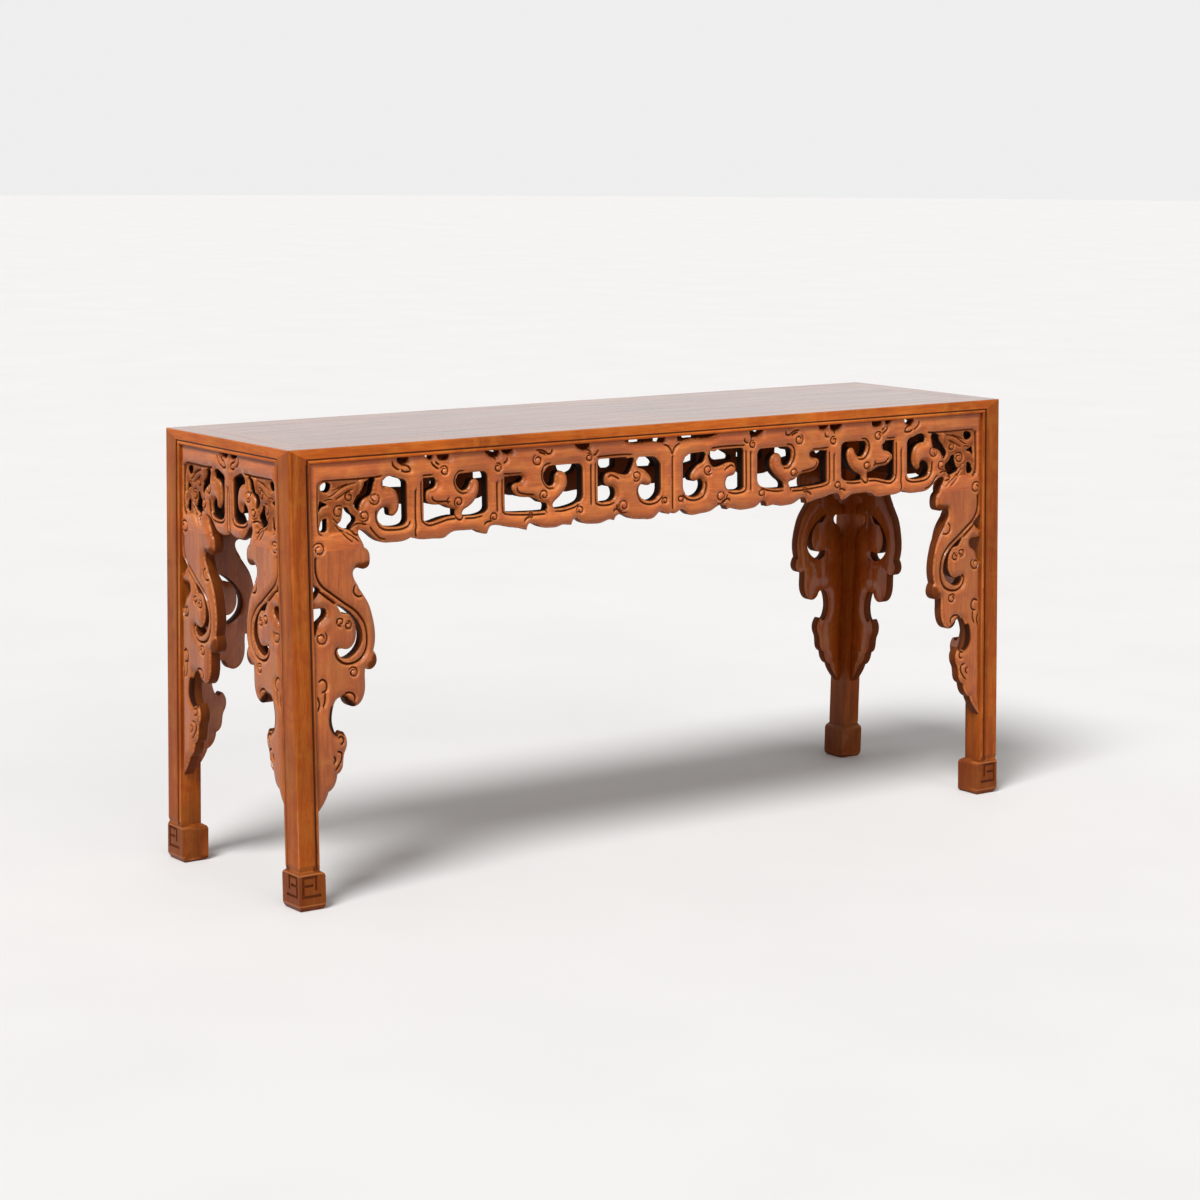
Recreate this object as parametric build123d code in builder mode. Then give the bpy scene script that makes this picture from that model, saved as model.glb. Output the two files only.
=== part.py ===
"""Chinese altar table with openwork aprons and scrolled corner spandrels.

Frame: millimetres, +X to the right, +Y to the back, +Z up.  The origin is on the floor
under the middle of the table, and the front of the table faces -Y.
Everything below the top leans: each leg, apron and spandrel on the front and the back
moves outward with its drop, so that the feet stand wider than the top.
"""
import os
from math import sqrt

from build123d import *

os.makedirs("parts", exist_ok=True)

# ---- Overall sizes ---------------------------------------------------------------------
table_length = 1712.0  # left to right, over the top frame and the legs
top_depth = 460.0  # front to back, over the top frame
table_height = 838.0
foot_splay = 22.0  # how far each foot stands outside the edge of the top, front or back

# ---- Top frame and panel ---------------------------------------------------------------
rail_height = 27.0
long_rail_width = 70.0
end_rail_width = 63.0
top_edge_radius = 2.0
board_count = 3
board_thickness = 12.0
tongue_drop = 4.0  # from the top surface down to a board's tongue
tongue_thickness = 5.0
tongue_length = 8.0
board_joint_length = 4.0  # tongue between two neighbouring boards
batten_places = (-420.0, 0.0, 420.0)  # X of each batten
batten_names = ("left_batten", "middle_batten", "right_batten")
batten_width = 30.0
dovetail_width = 24.0
dovetail_height = 3.0
dovetail_angle = 60.0  # degrees
batten_tenon_length = 10.0
batten_tenon_width = 20.0
batten_tenon_height = 8.0

# ---- Bead that runs round the inner edge of rails and legs -----------------------------
bead_width = 6.5
bead_quirk = 2.5  # flat-bottomed groove between the bead and the face beside it
bead_depth = 2.0

# ---- Legs ------------------------------------------------------------------------------
leg_width = 45.0  # along X
leg_depth = 50.0  # along Y
leg_corner_radius = 4.0
foot_height = 72.0
foot_flare = 10.5  # growth of the foot toward the inside of the table
foot_shoulder = 10.0  # height over which the foot swells out
foot_shoulder_bulge = 0.8  # share of the flare that is reached halfway down the shoulder
foot_bevel = 4.0  # round the bottom edge
leg_tenon_size = 10.0
leg_tenon_cover = 8.0  # rail left above a leg tenon

# ---- Aprons and spandrels --------------------------------------------------------------
carving_thickness = 26.0
carving_recess = 3.0  # behind the face of the rails and legs
apron_height = 159.0
spandrel_height = 480.0
spandrel_width = 134.0
carving_tongue_thickness = 8.0
apron_tongue_height = 8.0
apron_tenon_length = 12.0
apron_tenon_drop = 18.0  # from the apron's top edge to its end tenon
apron_tenon_height = 120.0
spandrel_tongue_length = 6.0
spandrel_tongue_drop = 164.0  # from the spandrel's top edge
spandrel_tongue_height = 250.0
dowel_radius = 3.0
dowel_depth = 12.0  # into the apron above and the spandrel below
dowel_places = (25.0, 85.0)  # from the leg

# ---- Clearances ------------------------------------------------------------------------
fit_clearance = 0.15  # beside a tongue or tenon
end_clearance = 0.5  # past the end of a tongue or tenon

# ---- Carved pattern, drawn in millimetres ----------------------------------------------
# Each point is (distance from the leg, distance below the piece's own top edge).
# An outline is a list of runs: two points are a straight line, more are a smooth curve.
# The lower edges start at the joint with the spandrel and end at the middle of the apron.
apron_lower_edge = [
    [(114, 159), (109, 147), (103, 136), (102, 130), (105, 127)],
    [(105, 127), (114, 129), (133, 143), (151, 153), (173, 155), (198, 154.5), (215, 148.5)],
    [(215, 148.5), (235, 154.5), (265, 155.5), (289, 154.5), (297, 149.5), (306, 146), (335, 145.5),
     (355, 147), (365, 152), (381, 155.5)],
    [(381, 155.5), (384, 149), (388, 143), (396, 141), (426, 146.5), (450, 150.5), (471, 156)],
    [(471, 156), (472, 150), (477, 144), (485, 144.5), (505, 153.5), (526, 156), (543, 155),
     (551, 152.5), (562, 153), (574, 154)],
    [(574, 154), (577, 146), (583, 142), (592, 147), (603, 153.5), (622, 156), (645, 155.5),
     (656, 152), (674, 153)],
    [(674, 153), (677, 147), (684, 143), (697, 144.5), (715, 153), (740, 156), (767, 156),
     (777, 149), (784, 144.5), (797, 149), (804, 151), (811, 147)],
]
end_apron_lower_edge = [
    [(114, 159), (109, 147), (103, 136), (102, 130), (105, 127)],
    [(105, 127), (112, 129), (124, 141), (136, 152), (150, 155), (166, 154), (180, 148)],
]
corner_bay_leaf_holes = [
    [[(25, 48), (29, 39), (45, 39), (41, 53), (31, 53), (25, 48)]],
    [[(23, 69), (36, 78), (28, 80), (22, 86), (23, 69)]],
    [[(24, 112), (29, 103), (35, 101), (37, 113), (35, 124), (25, 124), (24, 112)]],
    [[(71, 86), (79, 84), (86, 94), (97, 104), (97, 111), (91, 117), (87, 124)],
     [(87, 124), (72, 122), (60, 114)], [(60, 114), (67, 107), (70, 97), (71, 86)]],
    [[(117, 40), (138, 36), (134, 53), (130, 65), (117, 70), (108, 79), (104, 92)],
     [(104, 92), (98, 87), (94, 81), (101, 66), (109, 57), (117, 40)]],
]
corner_bay_scroll_hole = [
    [(157, 52), (156, 41), (164, 34), (175, 34), (190, 39), (201, 43), (205, 50)],
    [(205, 50), (205, 112)],
    [(205, 112), (201, 122), (190, 126), (164, 125), (150, 120), (144, 110), (146, 98), (154, 91),
     (163, 90), (168, 95), (169, 103), (174, 107), (182, 104), (188, 96), (190, 84), (188, 71),
     (182, 60), (172, 54), (157, 52)],
]
second_bay_holes = [
    [[(241, 42), (263, 42)],
     [(263, 42), (268, 48), (269, 56), (264, 62), (253, 65), (247, 71), (246, 79), (250, 87), (259, 92),
      (273, 93.5), (284, 95), (295, 100), (311, 104)],
     [(311, 104), (311, 116)],
     [(311, 116), (290, 117), (270, 121), (252, 124), (243, 121), (241, 112)],
     [(241, 112), (241, 42)]],
    [[(314, 52), (317, 41), (326, 39)], [(326, 39), (368, 38)],
     [(368, 38), (378, 41), (382, 52)], [(382, 52), (382, 101)],
     [(382, 101), (379, 112), (368, 117), (348, 119), (328, 118)],
     [(328, 118), (328, 110), (341, 102), (354, 92), (362, 79), (365, 66), (362, 55), (355, 51), (348, 53),
      (343, 61), (338, 68), (329, 71), (319, 65), (314, 52)]],
]
third_bay_holes = [
    [[(420, 52), (456, 52)],
     [(456, 52), (462, 58), (457, 64), (445, 66), (438, 72), (440, 81), (448, 89), (463, 93.5), (480, 95),
      (494, 100), (503, 106), (513, 108), (515, 122)],
     [(515, 122), (486, 122), (464, 121), (441, 120), (420, 116)], [(420, 116), (420, 52)]],
    [[(510, 57), (514, 44), (526, 38)], [(526, 38), (586, 38)],
     [(586, 38), (595, 41), (599, 52)], [(599, 52), (599, 95)],
     [(599, 95), (594, 109), (578, 116), (551, 120), (532, 120)],
     [(532, 120), (531, 112), (543, 101), (555, 90), (563, 79), (565, 67), (561, 56), (552, 50), (542, 51),
      (536, 59), (535, 69), (529, 76), (520, 75), (513, 68), (510, 57)]],
]
fourth_bay_holes = [
    [[(634, 42), (636, 35), (643, 33)], [(643, 33), (700, 33)],
     [(700, 33), (708, 36), (714, 35), (720, 38)],
     [(720, 38), (719, 48), (715, 57), (708, 66), (698, 67), (688, 65), (676, 61), (666, 60), (655, 63),
      (651, 71), (652, 81), (660, 87), (671, 89), (676, 97), (676, 106), (669, 114), (655, 116),
      (641, 116), (634, 112)],
     [(634, 112), (634, 42)]],
    [[(729, 48), (728, 41), (733, 35)], [(733, 35), (763, 36)],
     [(763, 36), (776, 42), (784, 54)], [(784, 54), (784, 97)],
     [(784, 97), (779, 112), (768, 120), (753, 121), (740, 115), (733, 104), (734, 93), (742, 88),
      (751, 91), (760, 90), (764, 83), (760, 73), (752, 65), (743, 59), (734, 56), (729, 48)]],
]
apron_top_notches = [
    [(187, 0), (189, 9), (197, 13), (206, 11), (210, 0)],
    [(245, 0), (251, 5), (257, 9), (263, 0)],
    [(273, 0), (277, 9), (286, 12), (294, 11), (298, 0)],
    [(377, 0), (386, 9), (397, 14), (405, 12), (409, 0)],
    [(415, 0), (420, 7), (435, 8), (440, 0)],
    [(582, 0), (591, 9), (602, 13), (611, 12), (616, 0)],
    [(698, 0), (712, 6), (750, 7), (780, 9), (792, 10), (796, 0)],
]
end_apron_top_notches = [
    [(150, 0), (158, 6), (168, 8), (176, 0)],
]
spandrel_free_edge = [
    [(114, 0), (122, 7), (125, 20), (121, 35), (109, 39), (96, 36), (90, 40), (89, 50), (94, 61), (101, 74)],
    [(101, 74), (111, 88), (120, 103), (127, 124), (132, 150), (132, 173), (128, 190)],
    [(128, 190), (134, 201), (134, 213), (127, 222), (110, 221)],
    [(110, 221), (109, 236), (109, 256), (105, 273), (96, 285), (84, 289), (74, 285), (67, 274)],
    [(67, 274), (58, 269), (48, 272), (42, 281), (38, 296), (37, 311), (40, 325), (46, 335), (53, 337),
     (58, 332), (64, 338), (68, 350), (67, 361), (63, 370)],
    [(63, 370), (60, 380), (58, 396), (46, 410)],
    [(46, 410), (43, 423), (38, 432), (27, 440)],
    [(27, 440), (21, 453), (12, 466), (0, 480)],
]
spandrel_leg_edge = [
    [(0, 480), (0, 154)], [(0, 154), (6, 149), (10, 138), (18, 127), (27, 120), (30, 112), (25, 103)],
    [(25, 103), (0, 103)], [(0, 103), (0, 87)], [(0, 87), (7, 83), (13, 78), (18, 72), (9, 62), (0, 54)],
]
spandrel_crescent = [
    [(52, 99), (63, 104), (74, 111), (87, 123), (98, 138), (104, 157), (102, 173), (94, 186), (82, 195),
     (69, 199), (58, 195), (52, 181)],
    [(52, 181), (61, 180), (70, 182), (80, 179), (87, 171), (91, 159), (91, 147), (89, 136), (85, 128),
     (80, 121), (74, 117), (64, 116), (58, 110), (52, 99)],
]

# ---- Worked out from the sizes above ---------------------------------------------------
lean = foot_splay / table_height  # outward run for each millimetre of drop
lean_stretch = sqrt(1 + lean**2)  # slope length for each millimetre of drop
left_face = -table_length / 2
front_edge = -top_depth / 2
leg_inner_x = left_face + leg_width
leg_inner_y = front_edge + leg_depth
panel_x = table_length / 2 - end_rail_width  # half the panel's length
panel_y = top_depth / 2 - long_rail_width  # half the panel's depth
leg_flat_x = leg_width - bead_width - bead_quirk
leg_flat_y = leg_depth - bead_width - bead_quirk
rail_flat = rail_height - bead_width - bead_quirk
joint_drop = rail_height + apron_height  # from the top surface to the spandrels
long_half = table_length / 2 - leg_width
drawn_spandrel_top, drawn_apron_height = apron_lower_edge[0][0]
drawn_long_half = apron_lower_edge[-1][-1][0]
drawn_end_half = end_apron_lower_edge[-1][-1][0]
drawn_spandrel_height = spandrel_free_edge[-1][-1][1]
spandrel_stretch = spandrel_width / max(x for run in spandrel_free_edge for x, y in run)
spandrel_top = drawn_spandrel_top * spandrel_stretch
batten_tenon_level = table_height - (board_thickness + rail_height) / 2
tongue_recess = carving_recess + (carving_thickness - carving_tongue_thickness) / 2
mortise_recess = tongue_recess - fit_clearance
mortise_thickness = carving_tongue_thickness + 2 * fit_clearance
far = table_height + table_length  # longer than any cut has to be


def end_half(drop):
    """Distance along an end, at this drop, from a leg's inner face to the middle."""
    return top_depth / 2 - leg_depth + lean * drop


def front_plane(depth):
    """Leaning plane that lies depth behind the front faces; its Y axis runs up the slope."""
    return Plane(origin=(0, front_edge + depth, table_height), x_dir=(1, 0, 0), z_dir=(0, -1, lean))


def front_point(distance, drop):
    """Sketch point on a front plane, from the left leg's inner face and the top surface."""
    return (leg_inner_x + distance, -drop * lean_stretch)


def end_plane(depth):
    """Upright plane that lies depth behind the left end's face; its X axis runs forward."""
    return Plane(origin=(left_face + depth, 0, table_height), x_dir=(0, -1, 0), z_dir=(-1, 0, 0))


def end_point(distance, drop):
    """Sketch point on an end plane, from the front leg's inner face and the top surface."""
    return (end_half(drop) - distance, -drop)


def stretched(distance, half, drawn_half):
    """Drawn distance from the leg; past the spandrel it stretches to reach the middle."""
    if distance <= drawn_spandrel_top:
        return distance * spandrel_stretch
    share = (distance - drawn_spandrel_top) / (drawn_half - drawn_spandrel_top)
    return spandrel_top + share * (half - spandrel_top)


def apron_drop(drop):
    return rail_height + drop * apron_height / drawn_apron_height


def on_front_apron(distance, drop):
    return front_point(stretched(distance, long_half, drawn_long_half), apron_drop(drop))


def on_end_apron(distance, drop):
    drop = apron_drop(drop)
    return end_point(stretched(distance, end_half(drop), drawn_end_half), drop)


# The post between the first two bays of the front apron lies between these two edges.
drawn_post = (corner_bay_scroll_hole[1][0][0] + second_bay_holes[0][-1][0][0]) / 2


def on_end_bay(distance, drop):
    """The front apron's first bay, narrowed to half the length of an end."""
    return end_point(distance * end_half(0) / drawn_post, apron_drop(drop))


def on_spandrel(point):
    """Places a drawn point of a spandrel through front_point or end_point."""
    scale = spandrel_height / drawn_spandrel_height
    return lambda distance, drop: point(distance * spandrel_stretch, joint_drop + drop * scale)


def placed(outline, place):
    """The same outline with each point put through place(distance, drop)."""
    return [[place(*point) for point in run] for run in outline]


def closed(runs, *corners):
    """The runs, then straight ones from their end through the corners to their start."""
    points = [runs[-1][-1], *corners, runs[0][0]]
    return runs + [[points[i], points[i + 1]] for i in range(len(points) - 1)]


def block(place, near, far_end, top, bottom):
    """Outline of a block between two distances from the leg and two drops."""
    edge = [place(near, top), place(far_end, top)]
    return closed([edge], place(far_end, bottom), place(near, bottom))


def drawn_face(plane, outline, holes=()):
    """Sketch inside an outline, less its holes; every run of points becomes one edge."""
    with BuildSketch(plane) as drawing:
        for runs in (outline, *holes):
            with BuildLine():
                for run in runs:
                    Line(*run) if len(run) == 2 else Spline(*run)
            make_face(mode=Mode.ADD if runs is outline else Mode.SUBTRACT)
    return drawing.sketch


def rail_face(plane, outer, inner, outer_lean):
    """Section of a rail: flat face, quirk and bead outside, panel groove inside."""

    def at(inset, drop):
        return (outer + inset - outer_lean * drop, table_height - drop)

    bead_top = rail_height - bead_width
    groove_top = table_height - tongue_drop
    groove_end = inner - tongue_length - end_clearance
    with BuildSketch(plane) as section:
        with BuildLine():
            Polyline(
                at(bead_depth, bead_top),
                at(bead_depth, rail_flat),
                at(0, rail_flat),
                at(0, 0),
                (inner, table_height),
                (inner, groove_top),
                (groove_end, groove_top),
                (groove_end, groove_top - tongue_thickness),
                (inner, groove_top - tongue_thickness),
                (inner, table_height - rail_height),
                at(bead_depth, rail_height),
            )
            bead_middle = at(0, rail_height - bead_width / 2)
            ThreePointArc(at(bead_depth, rail_height), bead_middle, at(bead_depth, bead_top))
        make_face()
        fillet(section.vertices().sort_by_distance(at(0, 0))[0], top_edge_radius)
    return section.sketch


def dovetail(clearance):
    """Section of a batten's dovetail, wider toward its top, standing on the sketch's location."""
    width, height = dovetail_width + 2 * clearance, dovetail_height + clearance
    Trapezoid(width, height, dovetail_angle, rotation=180, align=(Align.CENTER, Align.MAX))


def save(piece, name):
    """Label a finished piece and write it to its own file."""
    piece.part.label = name
    export_step(piece.part, f"parts/{name}.step")


# ---- Corner joint ----------------------------------------------------------------------
# A leg meets the two rails in a three-way mitre.  Seen from the front, the joint runs from
# the outer corner of the top down to the inner corner of the rail, and so it does from the
# end.  This is the room that the leg takes in the corner of the frame.
with BuildPart() as leg_room:
    mitre = [[front_point(-leg_width, 0), front_point(leg_flat_x - leg_width, rail_flat)],
             [front_point(leg_flat_x - leg_width, rail_flat), front_point(0, rail_height)]]
    below = (front_point(far, rail_height), front_point(far, far),
             front_point(-far, far), front_point(-far, 0))
    extrude(drawn_face(front_plane(-far), closed(mitre, *below)), amount=2 * far, dir=(0, 1, 0))
    mitre = [[end_point(-leg_depth, 0), end_point(leg_flat_y - leg_depth, rail_flat)],
             [end_point(leg_flat_y - leg_depth, rail_flat), end_point(0, rail_height)]]
    below = (end_point(far, rail_height), end_point(far, far),
             end_point(-far, far), end_point(-far, 0))
    end_room = drawn_face(end_plane(-far), closed(mitre, *below))
    extrude(end_room, amount=2 * far, dir=(1, 0, 0), mode=Mode.INTERSECT)

# Two stub tenons stand on the leg's head, one in the long rail and one in the end rail.
tenon_centres = (
    (leg_inner_x - leg_tenon_size, front_edge + leg_depth / 2 - leg_tenon_size / 2),
    (left_face + leg_width / 2 - leg_tenon_size / 2, leg_inner_y - leg_tenon_size),
)
with BuildPart() as leg_mortises:
    with BuildSketch(Plane.XY.offset(table_height - rail_height)):
        with Locations(*tenon_centres):
            Rectangle(leg_tenon_size + 2 * fit_clearance, leg_tenon_size + 2 * fit_clearance)
    extrude(amount=rail_height - leg_tenon_cover + end_clearance)

# ---- Front left leg --------------------------------------------------------------------
with BuildPart() as leg:
    with BuildSketch(Plane.XY.offset(table_height)) as section:
        with BuildLine():
            bead_x, bead_y = leg_inner_x - bead_width, leg_inner_y - bead_width
            sunk_x, sunk_y = left_face + bead_depth, front_edge + bead_depth
            Polyline(
                (sunk_x, bead_y),
                (sunk_x, bead_y - bead_quirk),
                (left_face, bead_y - bead_quirk),
                (left_face, front_edge),
                (bead_x - bead_quirk, front_edge),
                (bead_x - bead_quirk, sunk_y),
                (bead_x, sunk_y),
            )
            front_bead = (leg_inner_x - bead_width / 2, front_edge)
            ThreePointArc((bead_x, sunk_y), front_bead, (leg_inner_x, sunk_y))
            Polyline((leg_inner_x, sunk_y), (leg_inner_x, leg_inner_y), (sunk_x, leg_inner_y))
            end_bead = (left_face, leg_inner_y - bead_width / 2)
            ThreePointArc((sunk_x, leg_inner_y), end_bead, (sunk_x, bead_y))
        make_face()
        fillet(section.vertices().sort_by_distance((left_face, front_edge))[0], leg_corner_radius)
    extrude(amount=table_height * lean_stretch, dir=(0, -lean, -1))
    # The foot is flush with the outer faces and swells toward the inside of the table.
    foot_levels = (
        (foot_height, 0.0, 0.0),
        (foot_height - foot_shoulder / 2, foot_shoulder_bulge * foot_flare, 0.0),
        (foot_height - foot_shoulder, foot_flare, 0.0),
        (foot_bevel, foot_flare, 0.0),
        (0.0, foot_flare - foot_bevel, foot_bevel / 2),
    )
    for level, flare, bevel in foot_levels:
        outer_y = front_edge - lean * (table_height - level) + bevel
        with BuildSketch(Plane.XY.offset(level)):
            with Locations((left_face + bevel, outer_y)):
                Rectangle(leg_width + flare - bevel, leg_depth + flare - bevel, align=Align.MIN)
    loft(ruled=True)
    add(leg_room.part, mode=Mode.INTERSECT)
    with BuildSketch(Plane.XY.offset(table_height - leg_tenon_cover)):
        with Locations(*tenon_centres):
            Rectangle(leg_tenon_size, leg_tenon_size)
    extrude(amount=leg_tenon_cover - rail_height)
    for length, top, height in (
        (apron_tenon_length, rail_height + apron_tenon_drop, apron_tenon_height),
        (spandrel_tongue_length, joint_drop + spandrel_tongue_drop, spandrel_tongue_height),
    ):
        reach = (-length - end_clearance, far, top - end_clearance, top + height + end_clearance)
        front_mortise = drawn_face(front_plane(mortise_recess), block(front_point, *reach))
        extrude(front_mortise, amount=mortise_thickness, dir=(0, 1, 0), mode=Mode.SUBTRACT)
        end_mortise = drawn_face(end_plane(mortise_recess), block(end_point, *reach))
        extrude(end_mortise, amount=mortise_thickness, dir=(1, 0, 0), mode=Mode.SUBTRACT)

# ---- Front rail, mitred at both ends ---------------------------------------------------
tongue_groove_drop = rail_height - apron_tongue_height - end_clearance
with BuildPart() as long_rail:
    extrude(rail_face(Plane.YZ.offset(left_face), front_edge, -panel_y, lean), amount=table_length)
    # The mitre lines run on past the corners, because the rail's face leans out below them.
    with BuildSketch(Plane.XY):
        with BuildLine():
            overrun = rail_height * end_rail_width / long_rail_width
            Polyline(
                (left_face - overrun, front_edge - rail_height),
                (-panel_x, -panel_y),
                (panel_x, -panel_y),
                (-left_face + overrun, front_edge - rail_height),
                close=True,
            )
        make_face()
    extrude(amount=far, mode=Mode.INTERSECT)
    groove = block(front_point, 0, 2 * long_half, tongue_groove_drop, far)
    groove_face = drawn_face(front_plane(mortise_recess), groove)
    extrude(groove_face, amount=mortise_thickness, dir=(0, 1, 0), mode=Mode.SUBTRACT)
    with BuildSketch(Plane.XZ.offset(panel_y)):
        with Locations(*[(place, batten_tenon_level) for place in batten_places]):
            Rectangle(batten_tenon_width + 2 * fit_clearance, batten_tenon_height + 2 * fit_clearance)
    extrude(amount=batten_tenon_length + end_clearance, mode=Mode.SUBTRACT)
    for room in (leg_room.part, leg_mortises.part):
        add(room, mode=Mode.SUBTRACT)
        add(room.mirror(Plane.YZ), mode=Mode.SUBTRACT)

# ---- Left end rail, mitred at both ends ------------------------------------------------
with BuildPart() as end_rail:
    extrude(rail_face(Plane.XZ.offset(front_edge), left_face, -panel_x, 0), amount=top_depth)
    with BuildSketch(Plane.XY):
        with BuildLine():
            Polyline(
                (left_face, front_edge),
                (-panel_x, -panel_y),
                (-panel_x, panel_y),
                (left_face, -front_edge),
                close=True,
            )
        make_face()
    extrude(amount=far, mode=Mode.INTERSECT)
    with BuildSketch(Plane.XY.offset(table_height - rail_height)):
        with Locations((left_face + mortise_recess + mortise_thickness / 2, 0)):
            Rectangle(mortise_thickness, 2 * end_half(rail_height))
    extrude(amount=apron_tongue_height + end_clearance, mode=Mode.SUBTRACT)
    for room in (leg_room.part, leg_mortises.part):
        add(room, mode=Mode.SUBTRACT)
        add(room.mirror(Plane.XZ), mode=Mode.SUBTRACT)

# ---- Boards of the panel ---------------------------------------------------------------
board_names = [f"panel_board_{number}" for number in range(1, board_count + 1)]
board_width = 2 * panel_y / board_count
for index, name in enumerate(board_names):
    front = -panel_y + index * board_width
    front_tongue = tongue_length if index == 0 else 0
    back_tongue = tongue_length if index == board_count - 1 else board_joint_length
    tongue_level = table_height - tongue_drop - tongue_thickness
    with BuildPart() as board:
        with BuildSketch(Plane.XY.offset(table_height - board_thickness)):
            with Locations((-panel_x, front)):
                Rectangle(2 * panel_x, board_width, align=Align.MIN)
        extrude(amount=board_thickness)
        with BuildSketch(Plane.XY.offset(tongue_level)):
            with Locations((-panel_x - tongue_length, front - front_tongue)):
                tongued_width = front_tongue + board_width + back_tongue
                Rectangle(2 * (panel_x + tongue_length), tongued_width, align=Align.MIN)
        extrude(amount=tongue_thickness)
        if index > 0:
            with BuildSketch(Plane.XY.offset(tongue_level - fit_clearance)):
                with Locations((-far, front)):
                    Rectangle(2 * far, board_joint_length + end_clearance, align=Align.MIN)
            extrude(amount=tongue_thickness + 2 * fit_clearance, mode=Mode.SUBTRACT)
        with BuildSketch(Plane.XZ.offset(-far)):
            with Locations(*[(place, table_height - board_thickness) for place in batten_places]):
                dovetail(fit_clearance)
        extrude(amount=2 * far, mode=Mode.SUBTRACT)
    save(board, name)

# ---- Battens, dovetailed across the underside of the panel -----------------------------
for name, place in zip(batten_names, batten_places):
    with BuildPart() as batten:
        with BuildSketch(Plane.XZ.offset(-panel_y)):
            with Locations((place, table_height - board_thickness)):
                Rectangle(batten_width, rail_height - board_thickness, align=(Align.CENTER, Align.MAX))
                dovetail(0)
        extrude(amount=2 * panel_y)
        with BuildSketch(Plane.XZ.offset(-panel_y - batten_tenon_length)):
            with Locations((place, batten_tenon_level)):
                Rectangle(batten_tenon_width, batten_tenon_height)
        extrude(amount=2 * (panel_y + batten_tenon_length))
    save(batten, name)

# ---- Dowels between aprons and spandrels -----------------------------------------------
dowel_level = table_height - joint_drop
dowel_inset = carving_recess + carving_thickness / 2
front_dowels = [
    (leg_inner_x + place, front_edge - lean * joint_drop + dowel_inset, dowel_level)
    for place in dowel_places
]
end_dowels = [
    (left_face + dowel_inset, place - end_half(joint_drop), dowel_level) for place in dowel_places
]
with BuildPart() as dowels:
    with Locations(*front_dowels, *end_dowels):
        Cylinder(dowel_radius, 2 * dowel_depth)
    mirror(about=Plane.YZ)
    mirror(about=Plane.XZ)
save(dowels, "spandrel_dowels")

# ---- Left half of the front apron ------------------------------------------------------
with BuildPart() as long_apron:
    outline = closed(apron_lower_edge, (drawn_long_half, 0), (0, 0), (0, drawn_apron_height))
    bays = corner_bay_leaf_holes + [corner_bay_scroll_hole]
    bays = bays + second_bay_holes + third_bay_holes + fourth_bay_holes
    cuts = bays + [closed([notch]) for notch in apron_top_notches]
    face = drawn_face(
        front_plane(carving_recess),
        placed(outline, on_front_apron),
        [placed(cut, on_front_apron) for cut in cuts],
    )
    extrude(face, amount=carving_thickness, dir=(0, 1, 0))
    tongue = block(front_point, 0, long_half, rail_height - apron_tongue_height, rail_height)
    tenon_top = rail_height + apron_tenon_drop
    tenon = block(front_point, -apron_tenon_length, 0, tenon_top, tenon_top + apron_tenon_height)
    for shape in (tongue, tenon):
        added = drawn_face(front_plane(tongue_recess), shape)
        extrude(added, amount=carving_tongue_thickness, dir=(0, 1, 0))
    with Locations(*front_dowels):
        Cylinder(dowel_radius + fit_clearance, 2 * dowel_depth, mode=Mode.SUBTRACT)

# ---- Left end apron: half, then mirrored across the middle -----------------------------
with BuildPart() as end_apron:
    outline = closed(end_apron_lower_edge, (drawn_end_half, 0), (0, 0), (0, drawn_apron_height))
    bay = corner_bay_leaf_holes + [corner_bay_scroll_hole]
    notches = [closed([notch]) for notch in end_apron_top_notches]
    face = drawn_face(
        end_plane(carving_recess),
        placed(outline, on_end_apron),
        [placed(cut, on_end_bay) for cut in bay] + [placed(cut, on_end_apron) for cut in notches],
    )
    extrude(face, amount=carving_thickness, dir=(1, 0, 0))
    tenon = block(end_point, -apron_tenon_length, 0, tenon_top, tenon_top + apron_tenon_height)
    tongue_top = rail_height - apron_tongue_height
    tongue_edge = [[end_point(0, rail_height), (end_half(rail_height), -tongue_top)]]
    tongue = closed(tongue_edge, (0, -tongue_top), (0, -rail_height))
    for shape in (tongue, tenon):
        added = drawn_face(end_plane(tongue_recess), shape)
        extrude(added, amount=carving_tongue_thickness, dir=(1, 0, 0))
    with Locations(*end_dowels):
        Cylinder(dowel_radius + fit_clearance, 2 * dowel_depth, mode=Mode.SUBTRACT)
    mirror(about=Plane.XZ)

# ---- Spandrels beside the front left leg -----------------------------------------------
def spandrel(plane, point, direction, holes):
    """A spandrel with its leg tongue and dowel holes, on the planes of one face of the table."""
    with BuildPart() as piece:
        place = on_spandrel(point)
        outline = placed(closed(spandrel_free_edge + spandrel_leg_edge, (0, 0)), place)
        crescent = placed(spandrel_crescent, place)
        face = drawn_face(plane(carving_recess), outline, [crescent])
        extrude(face, amount=carving_thickness, dir=direction)
        top = joint_drop + spandrel_tongue_drop
        tongue = block(point, -spandrel_tongue_length, 0, top, top + spandrel_tongue_height)
        added = drawn_face(plane(tongue_recess), tongue)
        extrude(added, amount=carving_tongue_thickness, dir=direction)
        with Locations(*holes):
            Cylinder(dowel_radius + fit_clearance, 2 * dowel_depth, mode=Mode.SUBTRACT)
    return piece


long_spandrel = spandrel(front_plane, front_point, (0, 1, 0), front_dowels)
end_spandrel = spandrel(end_plane, end_point, (1, 0, 0), end_dowels)

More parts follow.
